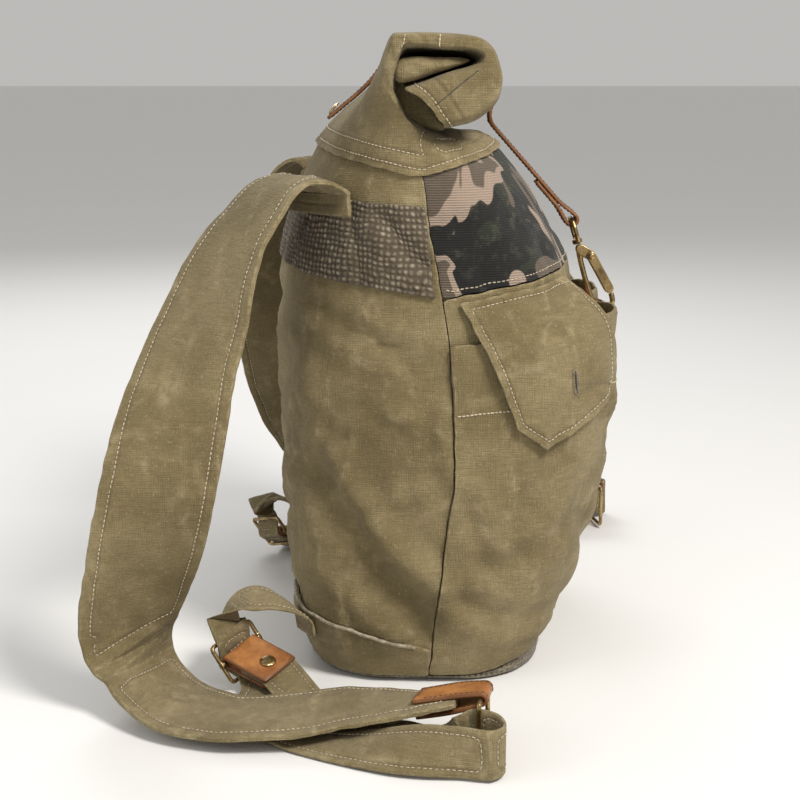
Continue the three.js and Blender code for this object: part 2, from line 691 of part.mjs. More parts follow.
const caughtBar = hookPoint(
  51.8 * hookScale - hookWire / 2 - wireDiameter / 2 - layerGap,
  6.6 * hookScale,
);
const front = 0.75;
const tabBase = shellPoint(front, 4.75, 0);
const tabTop = shellPoint(front, 5.45, 0);
const tabUp = tabTop.clone().sub(tabBase).normalize();
const tabOut = vec(tabUp.z, 0, -tabUp.x);
const innerSeat = layerGap + leatherWall / 2;
const outerSeat = innerSeat + leatherWall + 0.3;
const foldRadius = wireDiameter / 2 + 0.5 + leatherWall / 2;
const foldRise = 2; // how far the fold stands above the tab's last stitch
const foldCentre = tabTop.clone().addScaledVector(tabOut, innerSeat + foldRadius * 0.9)
  .addScaledVector(tabUp, foldRise);
const foldArc = [];
for (let i = 0; i <= loopSteps; i += 1) {
  const angle = Math.PI - (i / loopSteps) * Math.PI;
  foldArc.push(station(
    foldCentre.clone().addScaledVector(tabUp, Math.sin(angle) * foldRadius)
      .addScaledVector(tabOut, Math.cos(angle) * foldRadius),
  ));
}
const onBody = (row, out) => station(shellPoint(front, row, out));
addLeather("front_tab", strapGeometry(withTravel([
  onBody(4.75, innerSeat), onBody(5, innerSeat), onBody(5.3, innerSeat),
  ...foldArc,
  onBody(5.25, outerSeat), onBody(5, outerSeat), onBody(4.77, outerSeat),
]), closureWidth * 0.95, leatherWall, 1));
const ringUp = caughtBar.clone().sub(foldCentre);
const ringTall = ringUp.length();
ringUp.normalize();
const frontRingCentre = foldCentre.clone().add(caughtBar).multiplyScalar(0.5);
addBrass("front_ring", wireGeometry(
  roundRectangle(frontRingCentre, alongY, ringUp, closureWidth + 3, ringTall, 3.2, 2),
  wireDiameter * 0.85, true, wireSides, vec(ringUp.z, 0, -ringUp.x),
));

// Shoulder straps. x in shares of strapReach, y in shares of half the sack's width, z in shares of
// strapHeight. yaw and pitch, in degrees, turn the width direction from +X. wide is the share of
// the strap's width.

const degrees = Math.PI / 180;
const strapTurn = 0.115; // where the straps are sewn on, in turns from the side seam
const webTurn = 0.14;
const gripStations = 3;
const foldSteps = 6;

// As smoothStations, but with its own number of steps after each row
function denseStations(rows) {
  const centres = new THREE.CatmullRomCurve3(rows.map((r) => r.centre), false, "centripetal");
  const list = [];
  const last = rows.length - 1;
  const add = (low, share) => {
    const high = Math.min(low + 1, last);
    const across = rows[low].across.clone().lerp(rows[high].across, smooth(share));
    const travel = centres.getTangent((low + share) / last);
    across.addScaledVector(travel, -across.dot(travel)).normalize();
    const scale = mix(rows[low].scale, rows[high].scale, smooth(share));
    list.push({ centre: centres.getPoint((low + share) / last), across, travel, scale });
  };
  for (let low = 0; low < last; low += 1) {
    const steps = rows[low].steps ?? 2;
    for (let i = 0; i < steps; i += 1) add(low, i / steps);
  }
  add(last, 0);
  return list;
}
const nearShoulder = [
  { x: -0.362, y: -0.82, z: 1, yaw: -62, pitch: 0 },
  { x: -0.425, y: -0.85, z: 0.985, yaw: -60, pitch: 2 },
  { x: -0.49, y: -0.88, z: 0.93, yaw: -55, pitch: 3 },
  { x: -0.555, y: -0.915, z: 0.868, yaw: -48, pitch: 3 },
  { x: -0.612, y: -0.97, z: 0.76, yaw: -36, pitch: 3 },
  { x: -0.66, y: -1.06, z: 0.665, yaw: -24, pitch: 1 },
  { x: -0.695, y: -1.18, z: 0.568, yaw: -8, pitch: 0 },
  { x: -0.725, y: -1.28, z: 0.45, yaw: 0, pitch: -2 },
  { x: -0.76, y: -1.28, z: 0.345, yaw: 8, pitch: -5 },
  { x: -0.8, y: -1.22, z: 0.25, yaw: 25, pitch: -10 },
  { x: -0.83, y: -1.16, z: 0.165, yaw: 41, pitch: -11 },
  { x: -0.83, y: -1.13, z: 0.1, yaw: 51, pitch: -10 },
  { x: -0.795, y: -1.16, z: 0.057, yaw: 60, pitch: -8 },
  { x: -0.73, y: -1.27, z: 0.036, yaw: 66, pitch: -4 },
  { x: -0.665, y: -1.37, z: 0.028, yaw: 74, pitch: 0 },
  { x: -0.58, y: -1.46, z: 0.026, yaw: 82, pitch: 0 },
  { x: -0.47, y: -1.485, z: 0.028, yaw: 90, pitch: -2 },
  { x: -0.355, y: -1.485, z: 0.036, yaw: 93, pitch: 0, wide: 0.97 },
  { x: -0.225, y: -1.475, z: 0.05, yaw: 93, pitch: -2, wide: 0.92 },
  { x: -0.115, y: -1.56, z: 0.066, yaw: 88, pitch: -6, wide: 0.82 },
  { x: -0.02, y: -1.635, z: 0.086, yaw: 84, pitch: -3, wide: 0.58 },
  { x: 0.055, y: -1.66, z: 0.1, yaw: 84, pitch: 0, wide: 0.42 },
];
const farShoulder = [
  { x: -0.36, y: -0.825, z: 1, yaw: -62, pitch: 0 },
  { x: -0.42, y: -0.865, z: 0.975, yaw: -58, pitch: 2 },
  { x: -0.48, y: -0.93, z: 0.885, yaw: -49, pitch: 4 },
  { x: -0.52, y: -1.03, z: 0.76, yaw: -36, pitch: 6 },
  { x: -0.53, y: -1.17, z: 0.62, yaw: -22, pitch: 8 },
  { x: -0.51, y: -1.29, z: 0.48, yaw: -8, pitch: 12 },
  { x: -0.46, y: -1.38, z: 0.345, yaw: 8, pitch: 20 },
  { x: -0.38, y: -1.44, z: 0.225, yaw: 30, pitch: 24 },
  { x: -0.28, y: -1.48, z: 0.13, yaw: 55, pitch: 20 },
  { x: -0.16, y: -1.5, z: 0.07, yaw: 75, pitch: 10 },
  { x: -0.02, y: -1.51, z: 0.04, yaw: 86, pitch: 3 },
  { x: 0.13, y: -1.52, z: 0.034, yaw: 90, pitch: 0 },
  { x: 0.28, y: -1.53, z: 0.046, yaw: 90, pitch: -4, wide: 0.96 },
  { x: 0.42, y: -1.55, z: 0.07, yaw: 90, pitch: -8, wide: 0.85 },
  { x: 0.52, y: -1.59, z: 0.086, yaw: 88, pitch: -3, wide: 0.58 },
  { x: 0.59, y: -1.61, z: 0.1, yaw: 88, pitch: 0, wide: 0.42 },
];
// Lower straps: from the base band over an arch, through the slider, round the strap ring and back.
// The same shares as the shoulder straps.

const webArch = [
  { x: -0.44, y: -0.819, z: 0.155, yaw: 130, pitch: 15 },
  { x: -0.496, y: -0.844, z: 0.165, yaw: 108, pitch: 15 },
  { x: -0.548, y: -0.881, z: 0.155, yaw: 85, pitch: 15 },
];
const nearOut = [
  { x: -0.478, y: -1.022, z: 0.021, yaw: 41, pitch: 8 },
  { x: -0.47, y: -1.106, z: 0.013, yaw: 24, pitch: 2 },
  { x: -0.478, y: -1.194, z: 0.01, yaw: 10, pitch: 0 },
  { x: -0.488, y: -1.3, z: 0.009, yaw: 10, pitch: 0 },
  { x: -0.448, y: -1.45, z: 0.009, yaw: 30, pitch: 0 },
  { x: -0.352, y: -1.6, z: 0.008, yaw: 50, pitch: 3 },
  { x: -0.208, y: -1.738, z: 0.02, yaw: 60, pitch: 20 },
  { x: -0.072, y: -1.87, z: 0.042, yaw: 70, pitch: 50 },
];
const nearBack = [
  { x: -0.1, y: -1.7, z: 0.029, yaw: 70, pitch: 26 },
  { x: -0.168, y: -1.57, z: 0.018, yaw: 50, pitch: 10 },
  { x: -0.256, y: -1.387, z: 0.008, yaw: 38, pitch: 0 },
  { x: -0.344, y: -1.244, z: 0.011, yaw: 34, pitch: 2 },
];
const farOut = [
  { x: -0.478, y: -1.022, z: 0.021, yaw: 42, pitch: 8 },
  { x: -0.465, y: -1.115, z: 0.013, yaw: 32, pitch: 2 },
  { x: -0.445, y: -1.23, z: 0.01, yaw: 32, pitch: 0 },
  { x: -0.4, y: -1.36, z: 0.009, yaw: 42, pitch: 0 },
  { x: -0.22, y: -1.531, z: 0.009, yaw: 68, pitch: 0 },
  { x: 0, y: -1.637, z: 0.009, yaw: 88, pitch: 0 },
  { x: 0.24, y: -1.669, z: 0.009, yaw: 90, pitch: 0 },
  { x: 0.42, y: -1.712, z: 0.018, yaw: 88, pitch: 15 },
  { x: 0.53, y: -1.79, z: 0.04, yaw: 88, pitch: 48 },
];
const farBack = [
  { x: 0.43, y: -1.6, z: 0.03, yaw: 88, pitch: 26 },
  { x: 0.28, y: -1.462, z: 0.015, yaw: 85, pitch: 4 },
  { x: 0.08, y: -1.413, z: 0.009, yaw: 88, pitch: 0 },
  { x: -0.12, y: -1.375, z: 0.008, yaw: 80, pitch: 0 },
  { x: -0.26, y: -1.25, z: 0.01, yaw: 60, pitch: 0 },
  { x: -0.36, y: -1.15, z: 0.02, yaw: 47, pitch: 4 },
];

// Where a lower strap goes round the near side bar of its ring, in mm: ahead of the bar and out
// from the ring. up is the height of the standing strap's lower edge, and lean turns its top edge
// toward the ring.
const ringLoop = [
  { ahead: -7, out: 23, up: 1.8, lean: 7 }, { ahead: 11, out: 26, up: 1.8, lean: 2 },
  { ahead: 19, out: 15, up: 2.2, lean: 0 }, { ahead: 13, out: 2, up: 3.6, lean: 0 },
];
const ringLeave = [
  { ahead: -6, out: -3.4, up: 6.3, lean: 0, wide: 0.82 },
  { ahead: -15, out: 1, up: 5, lean: 44, wide: 0.84 },
  { ahead: -30, out: -1, up: 2.2, lean: 63, wide: 0.95 },
];

// Slider: a wire frame with a middle bar. In its own plane down runs from the top bar to the
// bottom bar, front faces away from the floor, and pull is the way its leather tab points.
const sliderPlace = { x: -0.542, y: -0.947, z: 0.068 };
const barPitch = sliderSlot + wireDiameter;
const sliderSpan = webWidth + 4;
const slimRadius = wireDiameter * 0.42;
const beadRadius = wireDiameter * 0.75;
const tabLength = 37;
const tabCover = 0.4; // gap between a folded tab and what it holds

const routePlace = (place, side) => vec(
  place.x * strapReach, place.y * halfWidth * side, place.z * strapHeight,
);

function sliderFrame(side) {
  const bar = vec(0.59, 0.76 * side, 0.27).normalize();
  const down = vec(0.45, -0.2 * side, -0.87);
  down.addScaledVector(bar, -down.dot(bar)).normalize();
  const front = vec(0.607, -0.635 * side, 0.46);
  front.addScaledVector(bar, -front.dot(bar)).addScaledVector(down, -front.dot(down)).normalize();
  const pull = vec(0.78, -0.58 * side, -0.25);
  pull.addScaledVector(bar, -pull.dot(bar)).normalize();
  return { bar, down, front, pull, centre: routePlace(sliderPlace, side) };
}

// The way of a lower strap over one slider bar, behind the middle bar and over the other bar
const weaveRadius = slimRadius + tabCover + leatherWall + tabCover + webThickness / 2;
const barRadius = wireDiameter / 2 + tabCover + webThickness / 2;
const weaveSine = (weaveRadius + barRadius) / barPitch;
const weaveCosine = Math.sqrt(1 - weaveSine * weaveSine);
const weaveHalf = [
  { along: barPitch, out: barRadius },
  { along: barPitch - barRadius * weaveSine, out: barRadius * weaveCosine },
  { along: weaveRadius * weaveSine, out: -weaveRadius * weaveCosine },
];
const weave = [
  { along: -barPitch * 1.75, out: 3.6 }, { along: -barPitch * 1.3, out: barRadius * 1.25 },
  ...weaveHalf.map((place) => ({ along: -place.along, out: place.out })),
  { along: 0, out: -weaveRadius * 1.01 },
  ...weaveHalf.toReversed(),
  { along: barPitch * 1.25, out: barRadius * 1.35, steps: 2 },
];

function routeRows(rows, side) {
  return rows.map((row) => {
    const yaw = row.yaw * degrees;
    const pitch = row.pitch * degrees;
    return {
      centre: routePlace(row, side),
      across: vec(Math.cos(yaw) * Math.cos(pitch), Math.sin(yaw) * Math.cos(pitch) * side, Math.sin(pitch)),
      scale: row.wide ?? 1,
    };
  });
}

// Stations of a leather tab: its top layer, the fold round a bar at centre, and its bottom layer.
// pullWay points from the tab to the bar, and face from the bottom layer to the top one.
function foldedTab(top, centre, pullWay, face, across, radius, bottom) {
  const turnRows = [];
  for (let i = 0; i <= foldSteps; i += 1) {
    const angle = Math.PI / 2 - (i / foldSteps) * Math.PI;
    const point = centre.clone().addScaledVector(pullWay, Math.cos(angle) * radius)
      .addScaledVector(face, Math.sin(angle) * radius);
    turnRows.push({ centre: point, across, scale: 1 });
  }
  return withTravel([...top, ...turnRows, ...bottom]);
}

function addStrapSet(name, side, shoulder, out, back, steps) {
  // Shoulder strap, sewn on over the top edge of the jute band
  const seatTurn = side > 0 ? strapTurn : 0.5 - strapTurn;
  const seatRow = (row, lift) => {
    const seat = layerGap * 2 + juteWall + strapThickness / 2 + lift;
    const centre = shellPoint(seatTurn, row, seat);
    const across = shellPoint(seatTurn - 0.4 * side / segments, row, seat).sub(centre).normalize();
    return { centre, across, scale: 1 };
  };
  const shoulderStations = smoothStations([
    seatRow(bandTopRow - 0.5, 0.6), seatRow(bandTopRow - 0.2, 0.9), seatRow(bandTopRow + 0.08, 2.4),
    ...routeRows(shoulder, side),
  ], steps);
  addCanvas(`shoulder_strap_${name}`, strapGeometry(shoulderStations, strapWidth, strapThickness, 0.5));

  // Ring held by a leather tab that is folded over the strap's end
  const end = shoulderStations[shoulderStations.length - 1];
  const endFace = end.travel.clone().cross(end.across).normalize();
  const ringTop = end.centre.clone().addScaledVector(end.travel, tabReach);
  const ringAcross = vec(end.across.x, end.across.y, 0).normalize();
  const grip = shoulderStations.slice(-gripStations);
  const tabLayer = (sign) => grip.map((s) => {
    const face = s.travel.clone().cross(s.across).normalize();
    const lift = sign * (strapThickness / 2 + layerGap * 1.3 + leatherWall / 2);
    return { centre: s.centre.clone().addScaledVector(face, lift), across: s.across, scale: 1 };
  });
  const ringFold = wireDiameter / 2 + tabCover + leatherWall / 2;
  addLeather(`strap_tab_${name}`, strapGeometry(
    foldedTab(tabLayer(1), ringTop, end.travel, endFace, ringAcross, ringFold, tabLayer(-1).reverse()),
    tabWidth, leatherWall, 1,
  ));
  const ringCentre = ringTop.clone().setZ(ringTop.z - (ringDrop + wireDiameter) / 2);
  const ringNormal = vec(ringAcross.y, -ringAcross.x, 0);
  addBrass(`strap_ring_${name}`, wireGeometry(
    roundRectangle(
      ringCentre, ringAcross, vec(0, 0, 1), ringSpan + wireDiameter, ringDrop + wireDiameter, 3, 2,
    ),
    wireDiameter, true, 6, ringNormal,
  ));

  // Lower strap
  const frame = sliderFrame(side);
  const ringSide = ringSpan / 2 - webThickness / 2 - tabCover;
  const aheadWay = vec(ringNormal.x, ringNormal.y, 0);
  if (aheadWay.x < 0) aheadWay.negate();
  const barPlace = ringCentre.clone().addScaledVector(ringAcross, -(ringSpan + wireDiameter) / 2);
  const inward = ringAcross.clone();
  const atRing = (place) => ({
    centre: barPlace.clone().addScaledVector(aheadWay, place.ahead).addScaledVector(inward, -place.out)
      .setZ((webWidth / 2) * (place.wide ?? 1) * Math.cos(place.lean * degrees) + place.up),
    across: vec(0, 0, Math.cos(place.lean * degrees))
      .addScaledVector(inward, Math.sin(place.lean * degrees)),
    scale: place.wide ?? 1,
  });
  const throughRing = {
    centre: ringCentre.clone().addScaledVector(ringAcross, -ringSide), across: vec(0, 0, 1), scale: 0.9,
  };
  const anchorTurn = side > 0 ? webTurn : 0.5 - webTurn;
  const anchor = (row, lift) => {
    const seat = layerGap * 2 + canvasWall + webThickness / 2 + lift;
    const centre = shellPoint(anchorTurn, row, seat);
    const across = shellPoint(anchorTurn + 0.4 * side / segments, row, seat).sub(centre).normalize();
    return { centre, across, scale: 1, steps: 2 };
  };
  const inSlider = weave.map((place) => ({
    centre: frame.centre.clone().addScaledVector(frame.down, place.along)
      .addScaledVector(frame.front, place.out),
    across: frame.bar,
    scale: 1,
    steps: place.steps ?? 1,
  }));
  const tabPoint = (share) => frame.centre.clone().addScaledVector(frame.pull, tabLength * share);
  const inTab = [1, 0.7, 0.35].map((share) => ({ centre: tabPoint(share), across: frame.bar, scale: 1 }));
  addCanvas(`lower_strap_${name}`, strapGeometry(denseStations([
    anchor(bandBackRow - 0.55, 0.5), anchor(bandBackRow - 0.2, 0.9), ...routeRows(webArch, side),
    ...inSlider, ...routeRows(out, side), ...ringLoop.map(atRing), throughRing,
    ...ringLeave.map(atRing), ...routeRows(back, side), ...inTab,
  ]), webWidth, webThickness, 1));

  const sliderRing = solidFrom(wireGeometry(
    roundRectangle(frame.centre, frame.bar, frame.down, sliderSpan + wireDiameter, barPitch * 2, 2.2, 2),
    wireDiameter, true, 6, frame.front,
  ));
  const barLength = sliderSpan + wireDiameter * 1.6;
  const beadLength = (barLength - webWidth - 2) / 2;
  const barStart = frame.centre.clone().addScaledVector(frame.bar, -barLength / 2);
  const middleBar = turnedGeometry(barStart, frame.bar, [
    { along: 0, radius: beadRadius }, { along: beadLength - 0.5, radius: beadRadius },
    { along: beadLength, radius: slimRadius }, { along: barLength - beadLength, radius: slimRadius },
    { along: barLength - beadLength + 0.5, radius: beadRadius }, { along: barLength, radius: beadRadius },
  ], 6);
  addBrass(`slider_${name}`, geometryFrom(sliderRing.add(solidFrom(middleBar))));

  const pullFace = frame.pull.clone().cross(frame.bar).normalize();
  if (pullFace.z < 0) pullFace.negate();
  const tabSeat = webThickness / 2 + tabCover + leatherWall / 2;
  const onTab = (share, lift) => ({
    centre: tabPoint(share).addScaledVector(pullFace, lift),
    across: frame.bar,
    scale: 1,
  });
  const tabSide = (sign) => [1, 0.6, 0.2].map((share) => onTab(share, tabSeat * sign));
  const sliderFold = slimRadius + tabCover + leatherWall / 2;
  addLeather(`slider_tab_${name}`, strapGeometry(
    foldedTab(
      tabSide(1), frame.centre, frame.pull.clone().negate(), pullFace, frame.bar, sliderFold,
      tabSide(-1).reverse(),
    ),
    webWidth + 1, leatherWall, 1,
  ));
  const rivetSeat = onTab(0.68, tabSeat + leatherWall / 2 + tabCover * 0.75).centre;
  addBrass(`slider_rivet_${name}`, turnedGeometry(rivetSeat, pullFace, [
    { along: 0, radius: rivetDiameter * 0.5 },
    { along: rivetDiameter * 0.075, radius: rivetDiameter * 0.5 },
    { along: rivetDiameter * 0.14, radius: rivetDiameter * 0.36 },
    { along: rivetDiameter * 0.175, radius: rivetDiameter * 0.15 },
  ], 10));
}
addStrapSet("near", 1, nearShoulder, nearOut, nearBack, 38);
addStrapSet("far", -1, farShoulder, farOut, farBack, 32);

export default model;
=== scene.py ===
"""Canvas backpack: cloth, leather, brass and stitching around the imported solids. Metres, +Z up."""

import math

import bmesh
import bpy
import numpy as np
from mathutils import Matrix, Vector
from mathutils.bvhtree import BVHTree
from mathutils.kdtree import KDTree


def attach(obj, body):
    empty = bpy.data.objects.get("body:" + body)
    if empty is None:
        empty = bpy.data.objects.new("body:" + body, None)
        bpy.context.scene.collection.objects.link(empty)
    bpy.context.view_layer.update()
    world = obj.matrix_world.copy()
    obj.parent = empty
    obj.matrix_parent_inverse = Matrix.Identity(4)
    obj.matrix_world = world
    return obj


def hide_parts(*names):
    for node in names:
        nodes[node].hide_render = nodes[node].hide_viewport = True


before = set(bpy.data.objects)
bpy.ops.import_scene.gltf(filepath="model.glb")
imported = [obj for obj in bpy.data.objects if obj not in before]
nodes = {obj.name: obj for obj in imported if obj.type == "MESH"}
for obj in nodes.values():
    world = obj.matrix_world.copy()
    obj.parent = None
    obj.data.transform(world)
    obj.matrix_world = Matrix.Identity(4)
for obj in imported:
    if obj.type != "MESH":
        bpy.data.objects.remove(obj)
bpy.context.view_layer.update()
scene = bpy.context.scene
rng = np.random.default_rng(11)

# Camera, floor and light

CAMERA_PLACE = (-0.023, -1.232, 0.427)
CAMERA_PITCH = 11.6
camera_data = bpy.data.cameras.new("camera")
camera_data.sensor_width = 36
camera_data.lens = 72.6
camera = bpy.data.objects.new("camera", camera_data)
camera.location = CAMERA_PLACE
camera.rotation_euler = (math.radians(90 - CAMERA_PITCH), 0, 0)
scene.collection.objects.link(camera)
scene.camera = camera

scene.view_settings.view_transform = "Standard"
world = bpy.data.worlds.new("studio")
world.use_nodes = True
world.node_tree.nodes["Background"].inputs["Color"].default_value = (1, 0.985, 0.96, 1)
world.node_tree.nodes["Background"].inputs["Strength"].default_value = 0.5
scene.world = world


def add_light(name, place, target, size, power, tint):
    data = bpy.data.lights.new(name, "AREA")
    data.shape = "DISK"
    data.size = size
    data.energy = power
    data.color = tint
    light = bpy.data.objects.new(name, data)
    light.location = place
    light.rotation_euler = (Vector(target) - Vector(place)).to_track_quat("-Z", "Y").to_euler()
    scene.collection.objects.link(light)


MIDDLE = (0, 0, 0.2)
add_light("key", (0.85, -1.1, 1.6), MIDDLE, 0.6, 38, (1, 0.97, 0.92))
add_light("fill", (-1.6, -0.9, 0.9), MIDDLE, 1.2, 7, (0.96, 0.98, 1))
add_light("back", (-0.5, 1.7, 1.5), MIDDLE, 1.2, 14, (1, 1, 1))


# Sections of the sack, as in the part's source. back, seam and front points are shares of the
# depth and the height, half is a share of the width, square the exponent of the rounded section.

SACK_DEPTH, SACK_WIDTH, ROLLED_HEIGHT = 0.2, 0.32, 0.45
SECTIONS = np.array([
    # back x, z, seam x, z, front x, z, half, square
    [-0.45, 0.009, -0.015, 0.009, 0.425, 0.049, 0.463, 3.4],
    [-0.505, 0.067, -0.01, 0.055, 0.485, 0.089, 0.49, 3.3],
    [-0.545, 0.156, 0.02, 0.156, 0.53, 0.162, 0.497, 3.1],
    [-0.565, 0.267, 0.055, 0.267, 0.56, 0.267, 0.5, 3],
    [-0.58, 0.378, 0.075, 0.378, 0.57, 0.378, 0.5, 2.9],
    [-0.585, 0.493, 0.07, 0.489, 0.575, 0.498, 0.5, 2.8],
    [-0.565, 0.649, 0.025, 0.611, 0.515, 0.647, 0.49, 2.7],
    [-0.53, 0.709, 0, 0.684, 0.43, 0.716, 0.485, 2.6],
    [-0.495, 0.764, -0.02, 0.749, 0.34, 0.776, 0.478, 2.5],
    [-0.42, 0.829, -0.035, 0.789, 0.24, 0.829, 0.474, 2.4],
])
BASE_RISE = 3


def section_point(level, turn):
    row = SECTIONS[level]
    angle = turn * 2 * math.pi
    power = 2 / row[..., 7]
    cosine, sine = np.cos(angle), np.sin(angle)
    across = np.sign(cosine) * np.abs(cosine) ** power
    depth = np.abs(sine) ** power
    wall_x = np.where(sine > 0, row[..., 0], row[..., 4])
    wall_z = np.where(sine > 0, row[..., 1], row[..., 5])
    rise = np.where(level == 0, depth ** BASE_RISE, depth)
    x = row[..., 2] + (wall_x - row[..., 2]) * depth
    z = row[..., 3] + (wall_z - row[..., 3]) * rise
    return np.stack([x * SACK_DEPTH, -across * row[..., 6] * SACK_WIDTH, z * ROLLED_HEIGHT], -1)


def sack_point(turn, row):
    """Points of the bare sack. turn runs round from the near seam over the back, row runs up."""
    turn, row = np.broadcast_arrays(np.asarray(turn, float), np.asarray(row, float))
    low = np.minimum(np.floor(row).astype(int), len(SECTIONS) - 2)
    share = (row - low)[..., None]
    return section_point(low, turn) * (1 - share) + section_point(low + 1, turn) * share


# Noise and folds

LATTICE = 32
LATTICE_VALUES = rng.uniform(-1, 1, (LATTICE, LATTICE, LATTICE, 3))


def noise3(points, size, shift=0.0):
    """A smooth vector from -1 to 1 at each point, changing over the given size."""
    place = points / np.asarray(size) + shift
    base = np.floor(place).astype(int)
    part = place - base
    part = part * part * (3 - 2 * part)
    total = np.zeros_like(place)
    for dx in (0, 1):
        for dy in (0, 1):
            for dz in (0, 1):
                weight = np.ones(len(place))
                for axis, step in enumerate((dx, dy, dz)):
                    weight = weight * (part[:, axis] if step else 1 - part[:, axis])
                corner = (base + (dx, dy, dz)) % LATTICE
                total += weight[:, None] * LATTICE_VALUES[corner[:, 0], corner[:, 1], corner[:, 2]]
    return total


def smooth(share):
    share = np.clip(share, 0, 1)
    return share * share * (3 - 2 * share)


def outward(points):
    """The way out of the sack, level, at each point."""
    way = np.stack([points[:, 0] / 0.0125, points[:, 1] / 0.0256, np.zeros(len(points))], 1)
    return way / np.maximum(np.linalg.norm(way, axis=1), 1e-6)[:, None]


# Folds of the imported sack. side is the face that shows it. a and b are its ends, in mm: x or y
# along the face, and z. width and depth are in mm. A negative depth is a trough.
FOLDS = [
    # side, a, az, b, bz, width, depth
    ("near", -89, 148, -12, 44, 13, -5), ("near", -70, 158, -4, 78, 9, 3),
    ("near", -74, 262, -22, 232, 7, -2.6), ("near", -72, 226, -26, 246, 6, -2),
    ("near", -60, 208, -18, 196, 8, 2), ("near", -98, 238, -84, 206, 9, 3),
    ("near", -96, 190, -50, 174, 7, -1.8), ("near", -52, 120, -14, 128, 6, -1.6),
    ("near", -84, 92, -40, 66, 7, -2), ("near", 6, 200, 14, 130, 6, 1.6),
    ("near", 24, 58, 82, 44, 10, -3.4), ("near", 30, 84, 92, 104, 8, -1.8),
    ("near", 84, 160, 60, 118, 10, -2.6), ("near", 104, 130, 60, 90, 7, -1.6),
    ("near", 22, 150, 50, 96, 7, 1.6), ("near", -40, 332, -6, 300, 7, -1.8),
    ("far", -86, 150, -10, 52, 13, -4.4), ("far", -70, 240, -20, 214, 8, -2.4),
    ("far", -90, 196, -40, 186, 8, -2), ("far", 26, 62, 84, 50, 10, -3),
    ("far", 96, 140, 56, 100, 8, -2), ("far", -60, 110, -20, 124, 7, 2),
    ("back", -110, 230, -20, 180, 12, -3), ("back", 110, 214, 24, 168, 12, -3),
    ("back", -96, 120, -10, 84, 10, -2.6), ("back", 96, 104, 20, 76, 10, -2.4),
    ("back", -60, 262, 60, 256, 10, -1.8), ("back", -120, 60, -60, 44, 8, -1.8),
    ("back", 0, 210, 14, 110, 9, 1.8), ("back", 70, 150, 118, 190, 8, -1.8),
    ("front", -120, 110, -44, 70, 11, -2.8), ("front", 120, 116, 46, 74, 11, -2.8),
    ("front", -110, 184, -50, 150, 9, -2.4), ("front", 112, 180, 54, 146, 9, -2.2),
    ("front", -92, 46, -30, 36, 8, -1.8), ("front", 88, 48, 36, 36, 8, -1.8),
    ("front", -120, 226, -96, 150, 9, -2), ("front", 120, 226, 98, 150, 9, -2),
]
FACES = {"near": (0, 1, -1), "far": (0, 1, 1), "back": (1, 0, -1), "front": (1, 0, 1)}
FOLD_SCALE = 1.7


def fold_depth(points):
    way = outward(points)
    total = np.zeros(len(points))
    for side, a, az, b, bz, width, depth in FOLDS:
        along_axis, face_axis, sign = FACES[side]
        facing = np.clip(way[:, face_axis] * sign, 0, 1) ** 1.5
        start, run = np.array([a, az]) / 1000, np.array([b - a, bz - az]) / 1000
        length = np.linalg.norm(run)
        run = run / length
        place = points[:, [along_axis, 2]] - start
        along = place @ run / length
        off = place @ np.array([-run[1], run[0]]) / (width / 1000)
        off = off + 0.35 * np.sin(along * 5 + a)
        beyond = np.maximum(np.maximum(-along, along - 1), 0) * length / (width / 1000)
        shape = np.exp(-off * off) - 0.45 * np.exp(-(np.abs(off) - 1.7) ** 2)
        total += facing * depth / 1000 * shape * np.exp(-(beyond ** 2) * 0.5)
    return total * FOLD_SCALE


def seam_pucker(points):
    """Small ripples beside the side seams, deepest at the seam."""
    side = np.abs(outward(points)[:, 1])
    near_seam = np.exp(-(((1 - side) / 0.02) ** 2))
    ripple = np.sin(points[:, 2] / 0.0021 + 2.4 * noise3(points, 0.03)[:, 0])
    return 0.0006 * near_seam * ripple


def crease_net(points, size, shift):
    """A net of crisp creases, from 0 in the flat cloth to 1 on a crease."""
    return np.clip(1 - np.abs(noise3(points, size, shift)[:, 0]) * 3.2, 0, 1) ** 2


FINE_NET, FINE_SHIFT = (0.022, 0.022, 0.03), 6.1
GROUND = 0.0004


def crumple(points, rim, broad=0.0014, fine=0.0007, hem=0.0007):
    move = noise3(points, 0.055, 3.1) * broad + noise3(points, 0.023, 9.7) * fine
    move += noise3(points, 0.008, 5.3) * hem * np.exp(-rim / 0.01)[:, None]
    move[:, 2] *= smooth(points[:, 2] / 0.02)
    moved = points + move
    moved[:, 2] = np.maximum(moved[:, 2], GROUND)
    return moved


def sack_shape(points, rim):
    """Folds, creases and puckers of the sack, the same for every layer."""
    depth = fold_depth(points) + seam_pucker(points)
    depth -= 0.0022 * crease_net(points, (0.05, 0.05, 0.035), 1.7)
    depth += 0.001 * crease_net(points, FINE_NET, FINE_SHIFT)
    depth *= smooth(points[:, 2] / 0.03) * smooth((0.36 - points[:, 2]) / 0.04)
    return crumple(points + outward(points) * depth[:, None], rim)


# Mesh helpers

def get_points(mesh):
    values = np.empty(len(mesh.vertices) * 3, np.float32)
    mesh.vertices.foreach_get("co", values)
    return values.reshape(-1, 3).astype(float)


def set_points(mesh, points):
    mesh.vertices.foreach_set("co", points.astype(np.float32).ravel())
    mesh.update()


def set_attribute(mesh, name, values):
    attribute = mesh.attributes.get(name) or mesh.attributes.new(name, "FLOAT", "POINT")
    attribute.data.foreach_set("value", values.astype(np.float32))


def triangles_of(mesh):
    mesh.calc_loop_triangles()
    values = np.empty(len(mesh.loop_triangles) * 3, np.int32)
    mesh.loop_triangles.foreach_get("vertices", values)
    return values.reshape(-1, 3)


def tree_of(obj):
    mesh = obj.data
    return BVHTree.FromPolygons(get_points(mesh).tolist(), triangles_of(mesh).tolist())


